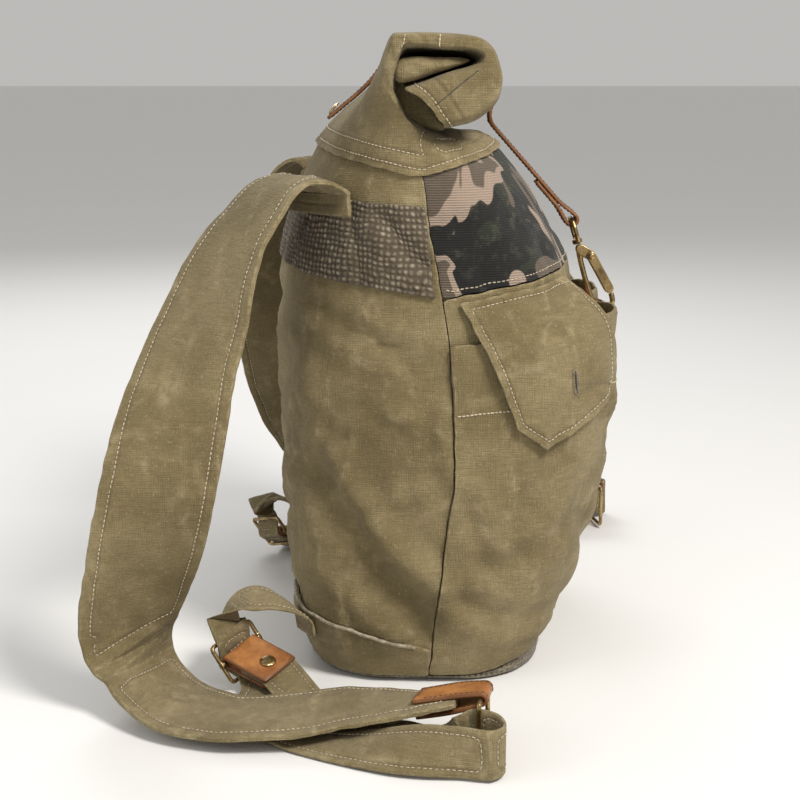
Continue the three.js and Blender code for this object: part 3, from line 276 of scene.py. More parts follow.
def new_object(name, mesh, finish):
    obj = bpy.data.objects.new(name, mesh)
    scene.collection.objects.link(obj)
    mesh.materials.clear()
    mesh.materials.append(finish)
    mesh.polygons.foreach_set("use_smooth", [True] * len(mesh.polygons))
    return obj


def distance_to(points, edge_points):
    tree = KDTree(len(edge_points))
    for i, point in enumerate(edge_points):
        tree.insert(point, i)
    tree.balance()
    return np.array([tree.find(p)[2] for p in points.tolist()])


def refined(node, levels, crease, sharp_angle=38):
    """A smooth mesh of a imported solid, and points along its sharp edges."""
    shape = bmesh.new()
    shape.from_mesh(nodes[node].data)
    bmesh.ops.remove_doubles(shape, verts=shape.verts, dist=2e-5)
    limit = math.radians(50)
    bmesh.ops.join_triangles(
        shape, faces=shape.faces, angle_face_threshold=limit, angle_shape_threshold=limit,
    )
    bmesh.ops.recalc_face_normals(shape, faces=shape.faces)
    layer = shape.edges.layers.float.new("crease_edge")
    edge_points = []
    for edge in shape.edges:
        if edge.is_manifold and edge.calc_face_angle(0) > math.radians(sharp_angle):
            edge[layer] = crease
            a, b = edge.verts[0].co, edge.verts[1].co
            steps = max(int((b - a).length / 0.001), 1)
            edge_points += [a.lerp(b, i / steps) for i in range(steps + 1)]
    mesh = bpy.data.meshes.new("coarse")
    shape.to_mesh(mesh)
    shape.free()
    coarse = bpy.data.objects.new("coarse", mesh)
    scene.collection.objects.link(coarse)
    modifier = coarse.modifiers.new("smooth", "SUBSURF")
    modifier.levels = modifier.render_levels = levels
    graph = bpy.context.evaluated_depsgraph_get()
    fine = bpy.data.meshes.new_from_object(coarse.evaluated_get(graph))
    bpy.data.objects.remove(coarse)
    return fine, edge_points


# Materials

class Graph:
    """Short forms for building one material's nodes."""

    def __init__(self, name, roughness, **shader):
        self.material = bpy.data.materials.new(name)
        self.material.use_nodes = True
        self.tree = self.material.node_tree
        self.shader = self.tree.nodes["Principled BSDF"]
        self.shader.inputs["Roughness"].default_value = roughness
        for key, value in shader.items():
            self.shader.inputs[key.replace("_", " ")].default_value = value
        self.place = self.tree.nodes.new("ShaderNodeTexCoord").outputs["Object"]

    def link(self, source, target):
        self.tree.links.new(source, target)

    def mapped(self, scale):
        item = self.tree.nodes.new("ShaderNodeMapping")
        item.inputs["Scale"].default_value = scale
        self.link(self.place, item.inputs["Vector"])
        return item.outputs["Vector"]

    def noise(self, scale, detail=3, rough=0.55, stretch=None, distort=0.0):
        item = self.tree.nodes.new("ShaderNodeTexNoise")
        item.inputs["Scale"].default_value = scale
        item.inputs["Detail"].default_value = detail
        item.inputs["Roughness"].default_value = rough
        item.inputs["Distortion"].default_value = distort
        self.link(self.mapped(stretch) if stretch else self.place, item.inputs["Vector"])
        return item.outputs["Fac"]

    def wave(self, direction, scale, distort=1.2):
        item = self.tree.nodes.new("ShaderNodeTexWave")
        item.bands_direction = direction
        item.inputs["Scale"].default_value = scale
        item.inputs["Distortion"].default_value = distort
        item.inputs["Detail"].default_value = 1
        item.inputs["Detail Scale"].default_value = 2
        self.link(self.place, item.inputs["Vector"])
        return item.outputs["Fac"]

    def voronoi(self, scale):
        item = self.tree.nodes.new("ShaderNodeTexVoronoi")
        item.inputs["Scale"].default_value = scale
        self.link(self.place, item.inputs["Vector"])
        return item.outputs["Distance"]

    def math(self, operation, a, b=0.0, clamp=False):
        item = self.tree.nodes.new("ShaderNodeMath")
        item.operation = operation
        item.use_clamp = clamp
        for socket, value in zip(item.inputs, (a, b)):
            if isinstance(value, (int, float)):
                socket.default_value = value
            else:
                self.link(value, socket)
        return item.outputs[0]

    def band(self, value, low, high):
        """0 below low, 1 above high."""
        item = self.tree.nodes.new("ShaderNodeMapRange")
        item.interpolation_type = "SMOOTHSTEP"
        self.link(value, item.inputs["Value"])
        item.inputs["From Min"].default_value = low
        item.inputs["From Max"].default_value = high
        return item.outputs["Result"]

    def mix(self, share, a, b):
        item = self.tree.nodes.new("ShaderNodeMix")
        item.data_type = "RGBA"
        for socket, value in ((item.inputs[0], share), (item.inputs[6], a), (item.inputs[7], b)):
            if isinstance(value, (int, float)):
                socket.default_value = value
            elif isinstance(value, tuple):
                socket.default_value = (*value, 1)
            else:
                self.link(value, socket)
        return item.outputs[2]

    def attribute(self, name):
        item = self.tree.nodes.new("ShaderNodeAttribute")
        item.attribute_name = name
        return item.outputs["Fac"]

    def facing(self, axis):
        """How little the surface faces along an axis, so that a wave along it shows."""
        normal = self.tree.nodes.new("ShaderNodeNewGeometry").outputs["Normal"]
        split = self.tree.nodes.new("ShaderNodeSeparateXYZ")
        self.link(normal, split.inputs[0])
        square = self.math("MULTIPLY", split.outputs[axis], split.outputs[axis])
        return self.math("SUBTRACT", 1.0, square)

    def weave(self, scale, distort=1.2):
        total = None
        for axis, direction in enumerate("XYZ"):
            part = self.math("MULTIPLY", self.wave(direction, scale, distort), self.facing(axis))
            total = part if total is None else self.math("ADD", total, part)
        return self.math("MULTIPLY", total, 0.5)

    def finish(self, colour, height=None, distance=0.001, strength=0.5):
        self.link(colour, self.shader.inputs["Base Color"])
        if height is not None:
            bump = self.tree.nodes.new("ShaderNodeBump")
            bump.inputs["Strength"].default_value = strength
            bump.inputs["Distance"].default_value = distance
            self.link(height, bump.inputs["Height"])
            self.link(bump.outputs["Normal"], self.shader.inputs["Normal"])
        return self.material


def canvas_material(name, stitch_lines=(), lightness=1.2):
    g = Graph(name, 0.9, Sheen_Weight=0.08, Sheen_Roughness=0.5, Specular_IOR_Level=0.2)
    tone = lambda r, gr, b: (r * lightness, gr * lightness, b * lightness)
    patches = g.band(g.noise(13, 4, 0.6), 0.36, 0.68)
    colour = g.mix(patches, tone(0.152, 0.119, 0.056), tone(0.245, 0.198, 0.104))
    dusty = g.band(g.noise(31, 6, 0.65, distort=0.6), 0.5, 0.74)
    colour = g.mix(g.math("MULTIPLY", dusty, 0.45), colour, tone(0.36, 0.29, 0.16))
    across = g.band(g.noise(1, 2, 0.6, stretch=(95, 95, 1500)), 0.3, 0.72)
    upright = g.band(g.noise(1, 2, 0.6, stretch=(1300, 1300, 80)), 0.3, 0.72)
    threads = g.math("ADD", across, upright)
    colour = g.mix(g.math("MULTIPLY", threads, 0.26), colour, tone(0.085, 0.06, 0.026))
    flecks = g.band(g.noise(620, 2, 0.6), 0.6, 0.72)
    colour = g.mix(g.math("MULTIPLY", flecks, 0.3), colour, tone(0.42, 0.35, 0.21))
    worn = g.math("MULTIPLY", g.attribute("wear"), g.band(g.noise(70, 4, 0.65), 0.42, 0.7))
    colour = g.mix(g.math("MULTIPLY", worn, 0.4), colour, tone(0.44, 0.36, 0.22))
    rim = g.attribute("rim")
    edge_wear = g.math("MULTIPLY", g.band(rim, 0.002, 0.0002), g.band(g.noise(180, 3), 0.4, 0.65))
    colour = g.mix(g.math("MULTIPLY", edge_wear, 0.4), colour, tone(0.38, 0.31, 0.19))
    height = g.math("MULTIPLY", g.weave(270), 0.32)
    height = g.math("ADD", height, g.math("MULTIPLY", threads, 0.3))
    height = g.math("ADD", height, g.math("MULTIPLY", g.noise(120, 5, 0.6), 1.4))
    for line in stitch_lines:
        off = g.math("ABSOLUTE", g.math("SUBTRACT", rim, line))
        height = g.math("ADD", height, g.math("MULTIPLY", g.band(off, 0.0, 0.0026), 1.1))
        # Painted shade in the groove along each stitch line.
        shade = g.math("MULTIPLY", g.band(off, 0.0022, 0.0), 0.3)
        colour = g.mix(shade, colour, tone(0.09, 0.066, 0.034))
    return g.finish(colour, height, 0.0011, 0.75)


def jute_material(name, shader_weave):
    g = Graph(name, 0.92, Sheen_Weight=0.2, Specular_IOR_Level=0.2)
    colour = g.mix(g.band(g.noise(60, 4), 0.35, 0.68), (0.15, 0.122, 0.084), (0.285, 0.24, 0.175))
    flecks = g.band(g.noise(1, 3, 0.7, stretch=(260, 260, 700)), 0.56, 0.72)
    colour = g.mix(g.math("MULTIPLY", flecks, 0.7), colour, (0.5, 0.45, 0.35))
    if shader_weave:
        relief = g.weave(82, 2.2)
        painted_gap_shade = g.band(relief, 0.42, 0.12)
    else:
        relief = g.attribute("relief")
        # Painted highlight: lightens the raised crowns of the yarns, more on some yarns than others.
        painted_tip_highlight = g.math("MULTIPLY", g.band(relief, 0.62, 0.95), g.attribute("yarn"))
        colour = g.mix(g.math("MULTIPLY", painted_tip_highlight, 0.75), colour, (0.52, 0.46, 0.35))
        painted_gap_shade = g.band(relief, 0.72, 0.22)
    # Painted shade: the colour darkens in the low gaps between the yarns of the weave.
    colour = g.mix(g.math("MULTIPLY", painted_gap_shade, 0.85), colour, (0.065, 0.047, 0.029))
    fibres = g.noise(1, 4, 0.7, stretch=(500, 500, 1500))
    height = g.math("ADD", g.math("MULTIPLY", fibres, 0.8), relief if shader_weave else 0.0)
    return g.finish(colour, height, 0.0012, 0.8)


def camouflage_material():
    g = Graph("camouflage", 0.9, Sheen_Weight=0.15, Specular_IOR_Level=0.2)
    first = g.noise(14, 1.5, 0.5, stretch=(1.15, 1.15, 0.8), distort=1.2)
    second = g.noise(17, 1.2, 0.5, stretch=(1.1, 0.9, 1), distort=1.3)
    third = g.noise(19, 1.0, 0.5, stretch=(0.8, 1.1, 1.1), distort=0.9)
    edge = 0.005
    colour = g.mix(g.band(third, 0.6 - edge, 0.6 + edge), (0.013, 0.013, 0.012), (0.022, 0.026, 0.016))
    colour = g.mix(g.band(second, 0.585 - edge, 0.585 + edge), colour, (0.12, 0.093, 0.068))
    colour = g.mix(g.band(first, 0.585 - edge, 0.585 + edge), colour, (0.12, 0.093, 0.068))
    inside = g.band(first, 0.515 - edge, 0.515 + edge)
    tan = g.math("MULTIPLY", inside, g.band(first, 0.59 + edge, 0.59 - edge))
    colour = g.mix(tan, colour, (0.35, 0.265, 0.205))
    faded = g.band(g.noise(90, 5, 0.7), 0.5, 0.8)
    colour = g.mix(g.math("MULTIPLY", faded, 0.22), colour, (0.3, 0.27, 0.2))
    ribs = g.wave("Z", 190, 0.6)
    threads = g.noise(1, 2, 0.6, stretch=(1200, 1200, 120))
    height = g.math("ADD", ribs, g.math("MULTIPLY", threads, 0.6))
    # Painted shade: near-black in the low grooves between the ribs.
    colour = g.mix(g.math("MULTIPLY", g.band(ribs, 0.45, 0.1), 0.24), colour, (0.008, 0.008, 0.006))
    return g.finish(colour, height, 0.0009, 0.7)


def leather_material():
    g = Graph("leather", 0.48, Specular_IOR_Level=0.45, Coat_Weight=0.08, Coat_Roughness=0.4)
    colour = g.mix(g.band(g.noise(45, 5, 0.6), 0.35, 0.7), (0.25, 0.092, 0.024), (0.5, 0.215, 0.065))
    pores = g.band(g.voronoi(1400), 0.0, 0.5)
    spots = g.band(g.noise(300, 4), 0.5, 0.8)
    colour = g.mix(g.math("MULTIPLY", spots, 0.3), colour, (0.13, 0.045, 0.014))
    edge = g.band(g.attribute("rim"), 0.0022, 0.0004)
    colour = g.mix(g.math("MULTIPLY", edge, 0.75), colour, (0.085, 0.03, 0.011))
    height = g.math("ADD", g.math("MULTIPLY", pores, 0.5), g.noise(260, 5, 0.6))
    return g.finish(colour, height, 0.0005, 0.45)


def brass_material():
    g = Graph("brass", 0.34, Metallic=1.0)
    tarnish = g.band(g.noise(110, 5, 0.65), 0.38, 0.66)
    colour = g.mix(tarnish, (0.5, 0.36, 0.17), (0.19, 0.13, 0.062))
    dark = g.band(g.noise(420, 4, 0.6), 0.55, 0.75)
    colour = g.mix(g.math("MULTIPLY", dark, 0.6), colour, (0.06, 0.042, 0.024))
    rough = g.math("ADD", g.math("MULTIPLY", tarnish, 0.2), 0.26)
    g.link(rough, g.shader.inputs["Roughness"])
    return g.finish(colour, g.noise(600, 4, 0.6), 0.0003, 0.35)


def thread_material(name, light, dark):
    g = Graph(name, 0.8, Sheen_Weight=0.3)
    colour = g.mix(g.band(g.noise(260, 3), 0.35, 0.65), dark, light)
    twist = g.noise(1, 2, 0.6, stretch=(2600, 2600, 1600))
    return g.finish(colour, twist, 0.0003, 0.5)


HEM_STITCH = 0.005
STRAP_STITCH = 0.0075
COLLAR_STITCH = 0.014
canvas = canvas_material("canvas")
canvas_hemmed = canvas_material("canvas_hemmed", (HEM_STITCH,))
canvas_collar = canvas_material("canvas_collar", (HEM_STITCH, COLLAR_STITCH))
canvas_strap = canvas_material("canvas_strap", (STRAP_STITCH,))
jute = jute_material("jute", True)
jute_woven = jute_material("jute_woven", False)
camouflage = camouflage_material()
leather = leather_material()
brass = brass_material()
cream_thread = thread_material("cream_thread", (0.6, 0.51, 0.36), (0.36, 0.29, 0.19))
dark_thread_and_slit_shadow = thread_material("dark_thread_and_slit_shadow", (0.05, 0.04, 0.028), (0.018, 0.014, 0.01))
linen_cord = thread_material("linen_cord", (0.4, 0.34, 0.24), (0.2, 0.16, 0.1))
olive_thread = thread_material("olive_thread", (0.25, 0.2, 0.11), (0.14, 0.11, 0.055))


# Cloth and leather pieces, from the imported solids. Crease is how sharp their edges stay.

pieces = {}


def dress(name, node, levels, finish, shape, crease=0.75):
    mesh, edge_points = refined(node, levels, crease)
    points = get_points(mesh)
    rim = distance_to(points, edge_points)
    set_points(mesh, shape(points, rim))
    set_attribute(mesh, "rim", rim)
    set_attribute(mesh, "wear", crease_net(points, FINE_NET, FINE_SHIFT))
    obj = new_object(name, mesh, finish)
    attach(obj, "pack")
    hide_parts(node)
    pieces[name] = {"obj": obj, "edges": np.array(edge_points), "rim": rim, "rest": points}
    return obj


def keep_off(name, under, gap):
    """Pushes a layer's points out where they would touch the cloth below."""
    obj = pieces[name]["obj"]
    tree = tree_of(pieces[under]["obj"])
    points = get_points(obj.data)
    for i, point in enumerate(points.tolist()):
        place, normal, _, away = tree.find_nearest(point, 0.012)
        if place is None:
            continue
        way = outward(points[i : i + 1])[0]
        if Vector(way).dot(normal) < 0.2:
            continue
        height = (Vector(point) - place).dot(normal)
        if height < gap:
            points[i] += np.array(normal) * (gap - height)
    set_points(obj.data, points)


strap_shape = lambda points, rim: crumple(points, rim, 0.0016, 0.0009, 0.0006)
web_shape = lambda points, rim: crumple(points, rim, 0.0006, 0.0004, 0.0003)
leather_shape = lambda points, rim: points
LEATHER_CREASE = 0.9


def roll_ends(points):
    """Fills out the ends of the roll, and lets the sack's mouth hang down inside it."""
    x, y, z = points.T
    end = smooth((np.abs(y) - 0.09) / 0.055)
    hang = np.clip((0.03 - x) / 0.047, 0, 1) * smooth((x + 0.0205) / 0.002)
    hang *= smooth((0.4325 - z) / 0.0015)
    moved = points.copy()
    moved[:, 2] -= 0.27 * hang * np.clip(z - 0.385, 0, None)
    moved[:, 2] += 0.0035 * end * smooth((z - 0.425) / 0.015)
    moved[:, 0] -= 0.0045 * end * smooth((z - 0.392) / 0.02) * smooth(-x / 0.02)
    return moved


def collar_shape(points, rim):
    low = smooth((0.4 - points[:, 2]) / 0.03)[:, None]
    sack = sack_shape(points, rim)
    rolled = crumple(roll_ends(points), rim, 0.0017, 0.0011, 0.001)
    return sack * low + rolled * (1 - low)


dress("back_cloth", "back_panel", 3, canvas, sack_shape)
dress("front_cloth", "front_panel", 3, canvas, sack_shape)
dress("camouflage_cloth", "camo_panel", 3, camouflage, sack_shape)
dress("collar_cloth", "collar", 3, canvas_collar, collar_shape)
dress("base_band_cloth", "base_band", 3, canvas, sack_shape)
dress("base_cloth", "jute_base", 3, jute, sack_shape)
for side in ("near", "far"):
    dress(f"pocket_{side}_cloth", f"pocket_{side}", 3, canvas, sack_shape)
    dress(f"flap_{side}_cloth", f"flap_{side}", 3, canvas_hemmed, sack_shape)
    strap = f"shoulder_strap_{side}"
    dress(f"{strap}_cloth", strap, 3, canvas_strap, strap_shape)
    dress(f"lower_strap_{side}_cloth", f"lower_strap_{side}", 2, canvas_hemmed, web_shape)
    for node in (f"strap_tab_{side}", f"slider_tab_{side}"):
        dress(f"{node}_leather", node, 2, leather, leather_shape, LEATHER_CREASE)
dress("closure_strap_leather", "closure_strap", 2, leather, leather_shape, LEATHER_CREASE)
dress("front_tab_leather", "front_tab", 2, leather, leather_shape, LEATHER_CREASE)


# Plump folds of cloth inside the roll, with a section in mm as x and z

def plump_fold(name, outline, half):
    ring = np.array(outline) / 1000
    for _ in range(3):
        after = np.roll(ring, -1, axis=0)
        ring = np.stack([ring * 0.75 + after * 0.25, ring * 0.25 + after * 0.75], 1).reshape(-1, 2)
    centre = ring.mean(axis=0)
    stations = np.sin(np.linspace(-math.pi / 2, math.pi / 2, 130))
    sizes = np.clip(1 - np.abs(stations) ** 60, 0.0004, 1) ** 0.5
    places = [np.column_stack([
        centre[0] + (ring[:, 0] - centre[0]) * size,
        np.full(len(ring), station * half),
        centre[1] + (ring[:, 1] - centre[1]) * size,
    ]) for station, size in zip(stations, sizes)]
    points = np.concatenate(places)
    points += noise3(points, 0.03, 4.4) * 0.0012 + noise3(points, 0.009, 2.2) * 0.0005
    count = len(ring)
    faces = [tuple(range(count)), tuple(range(len(points) - 1, len(points) - 1 - count, -1))]
    for i in range(len(stations) - 1):
        for k in range(count):
            a, b = i * count + k, i * count + (k + 1) % count
            faces.append((a, a + count, b + count, b))
    mesh = bpy.data.meshes.new(name)
    mesh.from_pydata(points.tolist(), [], faces)
    mesh.update()
    shape = bmesh.new()
    shape.from_mesh(mesh)
    bmesh.ops.recalc_face_normals(shape, faces=shape.faces)
    shape.to_mesh(mesh)
    shape.free()
    set_attribute(mesh, "rim", np.full(len(points), 0.05))
    set_attribute(mesh, "wear", crease_net(points, FINE_NET, FINE_SHIFT))
    obj = new_object(name, mesh, canvas)
    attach(obj, "pack")


plump_fold("roll_fold", [
    (-27, 430), (-22, 434.5), (0, 434.5), (18, 434), (25, 431.5),
    (14, 428), (0, 424), (-14, 419), (-24, 417.5), (-28, 422),
], 0.158)
plump_fold("roll_inside", [
    (-24, 431), (-28, 415), (-27, 402), (-19, 390), (-6, 386), (11, 384.5), (0, 404), (-14, 420),
], 0.132)


# Woven jute band over the back cloth

YARN = 0.0037
LAYER_GAP = 0.0007


def grid_mesh(name, outer, inner):
    """A closed sheet between two grids of points."""
    rows, columns = outer.shape[:2]
    points = np.concatenate([outer.reshape(-1, 3), inner.reshape(-1, 3)])
    index = np.arange(rows * columns).reshape(rows, columns)
    back = index + rows * columns
    quads = []

    def add(a, b, c, d):
        quads.append(np.stack([x.ravel() for x in (a, b, c, d)], 1))

    add(index[:-1, :-1], index[1:, :-1], index[1:, 1:], index[:-1, 1:])
    add(back[:-1, :-1], back[:-1, 1:], back[1:, 1:], back[1:, :-1])
    add(index[0, :-1], index[0, 1:], back[0, 1:], back[0, :-1])
    add(index[-1, :-1], back[-1, :-1], back[-1, 1:], index[-1, 1:])
    add(index[:-1, 0], back[:-1, 0], back[1:, 0], index[1:, 0])
    add(index[:-1, -1], index[1:, -1], back[1:, -1], back[:-1, -1])
    mesh = bpy.data.meshes.new(name)
    mesh.from_pydata(points.tolist(), [], np.concatenate(quads).tolist())
    mesh.update()
    return mesh


def woven_height(along, up):
    i, j = np.floor(along / YARN), np.floor(up / YARN)
    a, b = along / YARN - i, up / YARN - j
    over = (i + j) % 2
    weft = np.sin(math.pi * b) * np.where(over == 1, np.sin(math.pi * a) ** 0.6, 0.3)
    warp = np.sin(math.pi * a) ** 1.3 * np.where(over == 1, 0.25, np.sin(math.pi * b) ** 0.8) * 0.8
    return np.maximum(weft, warp), i, j


def jute_band():
    turns = np.linspace(0.002, 0.498, 460)
    rows = np.linspace(6.02, 7.98, 72)
    bare = sack_point(turns[None, :], rows[:, None])
    tree = tree_of(pieces["back_cloth"]["obj"])
    flat = bare.reshape(-1, 3)
    seat, ways = np.empty_like(flat), np.empty_like(flat)
    for i, point in enumerate(flat.tolist()):
        way = Vector(outward(flat[i : i + 1])[0])
        place, normal, _, _ = tree.ray_cast(Vector(point) + way * 0.03, -way, 0.06)
        if place is None:
            place, normal, _, _ = tree.find_nearest(point)
        seat[i], ways[i] = place, normal if normal.dot(way) > 0 else -normal
    seat, ways = seat.reshape(bare.shape), ways.reshape(bare.shape)
    for _ in range(3):
        ways[:, 1:-1] = (ways[:, :-2] + ways[:, 1:-1] + ways[:, 2:]) / 3
        ways[1:-1] = (ways[:-2] + ways[1:-1] + ways[2:]) / 3
    ways /= np.linalg.norm(ways, axis=2)[..., None]
    steps = np.linalg.norm(np.diff(bare, axis=1), axis=2)
    along = np.concatenate([np.zeros((len(rows), 1)), np.cumsum(steps, axis=1)], 1)
    along = np.broadcast_to(along[len(rows) // 2], along.shape)
    rise = np.linalg.norm(np.diff(bare, axis=0), axis=2).mean(axis=1)
    up = np.broadcast_to(np.concatenate([[0], np.cumsum(rise)])[:, None], along.shape)
    wobble = noise3(flat, 0.013, 2.3).reshape(bare.shape) * 0.0016
    wobble += noise3(flat, 0.0042, 7.3).reshape(bare.shape) * 0.0007
    height, i, j = woven_height(along + wobble[..., 0], up + wobble[..., 1])
    relief = height * (0.75 + 0.25 * noise3(flat, 0.004, 8.1)[:, 0].reshape(height.shape))
    lift = LAYER_GAP + 0.0008 + relief * 0.0021
    outer = seat + ways * lift[..., None]
    inner = seat + ways * LAYER_GAP * 0.5
    mesh = grid_mesh("jute_band_cloth", outer, inner)
    tints = rng.uniform(0, 1, (64, 256))
    tint = tints[j.astype(int) % 64, (i.astype(int) // 2) % 256]
    zero = np.zeros(height.size)
    set_attribute(mesh, "relief", np.concatenate([relief.ravel(), zero]))
    set_attribute(mesh, "yarn", np.concatenate([tint.ravel(), zero]))
    obj = new_object("jute_band_cloth", mesh, jute_woven)
    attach(obj, "pack")
    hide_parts("jute_band")
    pieces["jute_band_cloth"] = {"obj": obj}


jute_band()


def seam_tape(side, middle):
    """The binding inside a side seam, which closes the slit between the panels."""
    turns = middle + np.linspace(-0.0032, 0.0032, 15)
    rows = np.linspace(0.35, 8.9, 150)
    bare = sack_point(turns[None, :] % 1, rows[:, None])
    level = outward(bare.reshape(-1, 3)).reshape(bare.shape)
    far = np.full(bare.size // 3, 0.05)
    layers = [sack_shape((bare - level * depth).reshape(-1, 3), far).reshape(bare.shape)
              for depth in (0.0026, 0.0036)]
    mesh = grid_mesh(f"seam_tape_{side}", *layers)
    set_attribute(mesh, "rim", np.full(len(mesh.vertices), 0.05))
    obj = new_object(f"seam_tape_{side}", mesh, canvas)
    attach(obj, "pack")
    pieces[f"seam_tape_{side}"] = {"obj": obj}


seam_tape("near", 0)
seam_tape("far", 0.5)
for side in ("near", "far"):
    keep_off(f"pocket_{side}_cloth", "front_cloth", 0.0004)
    keep_off(f"flap_{side}_cloth", f"pocket_{side}_cloth", 0.0025)
    keep_off(f"flap_{side}_cloth", "front_cloth", 0.0025)
keep_off("collar_cloth", "back_cloth", 0.0005)
keep_off("collar_cloth", "camouflage_cloth", 0.0005)
keep_off("base_band_cloth", "back_cloth", 0.0004)


# Stitches

def isolines(piece, field, level, facing=None):
    """Lines on a piece where the field passes the level, as lists of points."""
    mesh = pieces[piece]["obj"].data
    points, triangles = get_points(mesh), triangles_of(mesh)
    if facing is not None:
        a, b, c = (points[triangles[:, k]] for k in range(3))
        normal = np.cross(b - a, c - a)
        triangles = triangles[np.einsum("ij,ij->i", normal, facing((a + b + c) / 3)) > 0]
    value = field - level
    side = value[triangles] > 0
    crossing = triangles[side.any(1) & ~side.all(1)]
    found, links = {}, {}
    for triangle in crossing.tolist():
        keys = []
        for a, b in zip(triangle, triangle[1:] + triangle[:1]):
            if (value[a] > 0) != (value[b] > 0):
                key = (min(a, b), max(a, b))
                share = value[a] / (value[a] - value[b])
                found[key] = points[a] * (1 - share) + points[b] * share
                keys.append(key)
        if len(keys) == 2:
            links.setdefault(keys[0], []).append(keys[1])
            links.setdefault(keys[1], []).append(keys[0])
    lines, used = [], set()
    ends = sorted(k for k, v in links.items() if len(v) == 1) + sorted(links)
    for start in ends:
        if start in used:
            continue
        line, here = [], start
        while here is not None:
            used.add(here)
            line.append(found[here])
            here = next((k for k in links[here] if k not in used), None)
        if len(line) > 5:
            lines.append(np.array(line))
    return lines


def resampled(line, pitch, rounds=4):
    line = np.array(line, float)
    for _ in range(rounds):
        line[1:-1] = (line[:-2] + line[1:-1] * 2 + line[2:]) / 4
    run = np.concatenate([[0], np.cumsum(np.linalg.norm(np.diff(line, axis=0), axis=1))])
    marks = np.arange(pitch / 2, run[-1], pitch)
    return np.stack([np.interp(marks, run, line[:, k]) for k in range(3)], 1)


STITCH_RINGS = ((-1, 0.35), (-0.62, 1), (0.62, 1), (1, 0.35))
STITCH_SIDES = 4
# Pitch, length and radius of each kind of stitch
TACK_THREAD = (0.0026, 0.0022, 0.0005)
SEAM_THREAD = (0.0019, 0.0023, 0.0004)
POCKET_THREAD = (0.0028, 0.0024, 0.0006)
WEB_THREAD = (0.0036, 0.0025, 0.00034)
LEATHER_THREAD = (0.0034, 0.0026, 0.00032)
CAMOUFLAGE_STITCH, LEATHER_STITCH = 0.004, 0.0028


class Thread:
    """Stitches gathered into one mesh."""

    def __init__(self):
        self.points, self.faces = [], []

    def stitch(self, centre, along, normal, length, radius):
        along = along / np.linalg.norm(along)
        side = np.cross(normal, along)
        side = side / max(np.linalg.norm(side), 1e-9)
        first = len(self.points)
        for reach, size in STITCH_RINGS:
            dip = 0.35 * radius * (1 - size)
            for k in range(STITCH_SIDES):
                angle = 2 * math.pi * k / STITCH_SIDES
                offset = side * math.cos(angle) + normal * math.sin(angle)
                place = centre + along * reach * length / 2 + offset * radius * size
                self.points.append(place - normal * dip)
        for ring in range(len(STITCH_RINGS) - 1):
            for k in range(STITCH_SIDES):
                a = first + ring * STITCH_SIDES + k
                b = first + ring * STITCH_SIDES + (k + 1) % STITCH_SIDES
                self.faces.append((a, b, b + STITCH_SIDES, a + STITCH_SIDES))
        last = first + (len(STITCH_RINGS) - 1) * STITCH_SIDES
        self.faces.append(tuple(range(first + STITCH_SIDES - 1, first - 1, -1)))
        self.faces.append(tuple(range(last, last + STITCH_SIDES)))

    def line(self, line, tree, pitch=0.0033, length=0.0024, radius=0.0004):
        marks = resampled(line, pitch)
        for i in range(1, len(marks) - 1):
            along = marks[i + 1] - marks[i - 1]
            if not 1.2 * pitch < np.linalg.norm(along) < 2.6 * pitch:
                continue
            place, normal, _, _ = tree.find_nearest(marks[i].tolist())
            normal = np.array(normal)
            along = along - normal * (along @ normal)
            sway = rng.normal(0, 0.04)
            along = along + np.cross(normal, along) * sway
            self.stitch(np.array(place) + normal * radius * 0.35, along, normal, length, radius)

    def piece(self, name, finish):
        mesh = bpy.data.meshes.new(name)
        mesh.from_pydata([p.tolist() for p in self.points], [], self.faces)
        mesh.update()
        obj = new_object(name, mesh, finish)
        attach(obj, "pack")
        return obj


def field_to(piece, keep):
    data = pieces[piece]
    edges = data["edges"]
    return distance_to(data["rest"], edges[keep(edges)])


level_out = lambda centres: outward(centres)

def at_mouth(edges):
    """The raw edge of the sack's mouth, hanging inside the roll."""
    share = (edges[:, 0] + 0.017) / 0.024
    return (np.abs(edges[:, 2] - 0.4275 + 0.0405 * share) < 0.005) & (np.abs(share - 0.5) < 0.65)


sack_thread = Thread()
collar_tree = tree_of(pieces["collar_cloth"]["obj"])
hem_field = field_to("collar_cloth", lambda p: p[:, 2] < 0.377)
for line in isolines("collar_cloth", hem_field, HEM_STITCH, level_out):
    sack_thread.line(line, collar_tree)
for line in isolines("collar_cloth", hem_field, COLLAR_STITCH, level_out):
    behind = line[(line[:, 0] < -0.005) & (line[:, 2] < 0.394)]
    if len(behind) > 5:
        sack_thread.line(behind, collar_tree)
mouth_field = field_to("collar_cloth", at_mouth)
for line in isolines("collar_cloth", mouth_field, HEM_STITCH):
    hanging = line[(line[:, 2] < 0.4275) & (line[:, 2] > 0.3905)]
    if len(hanging) > 5:
        sack_thread.line(hanging, collar_tree)
set_attribute(pieces["collar_cloth"]["obj"].data, "rim", np.minimum(hem_field, mouth_field))
BAR_TACKS = (-0.0195, 0.0035)
for side in (-1, 1):
    for x in BAR_TACKS:
        tack = [(x - 0.002 * share, side * (0.1625 + 0.003 * share), 0.452 - 0.016 * share)
                for share in np.linspace(0, 1, 12)]
        sack_thread.line(tack, collar_tree, *TACK_THREAD)
mouth_seam = Thread()
for side in (-1, 1):
    seam = np.linspace((0.0296, side * 0.168, 0.4275), (-0.002, side * 0.168, 0.402), 16)
    mouth_seam.line(seam, collar_tree, *SEAM_THREAD)
mouth_seam.piece("mouth_seam", dark_thread_and_slit_shadow)

camouflage_tree = tree_of(pieces["camouflage_cloth"]["obj"])
camouflage_field = field_to(
    "camouflage_cloth", lambda p: p[:, 2] < 0.2775 + 0.016 * np.clip(p[:, 0] / 0.1, 0, 1)
)
for line in isolines("camouflage_cloth", camouflage_field, CAMOUFLAGE_STITCH, level_out):
    sack_thread.line(line, camouflage_tree)

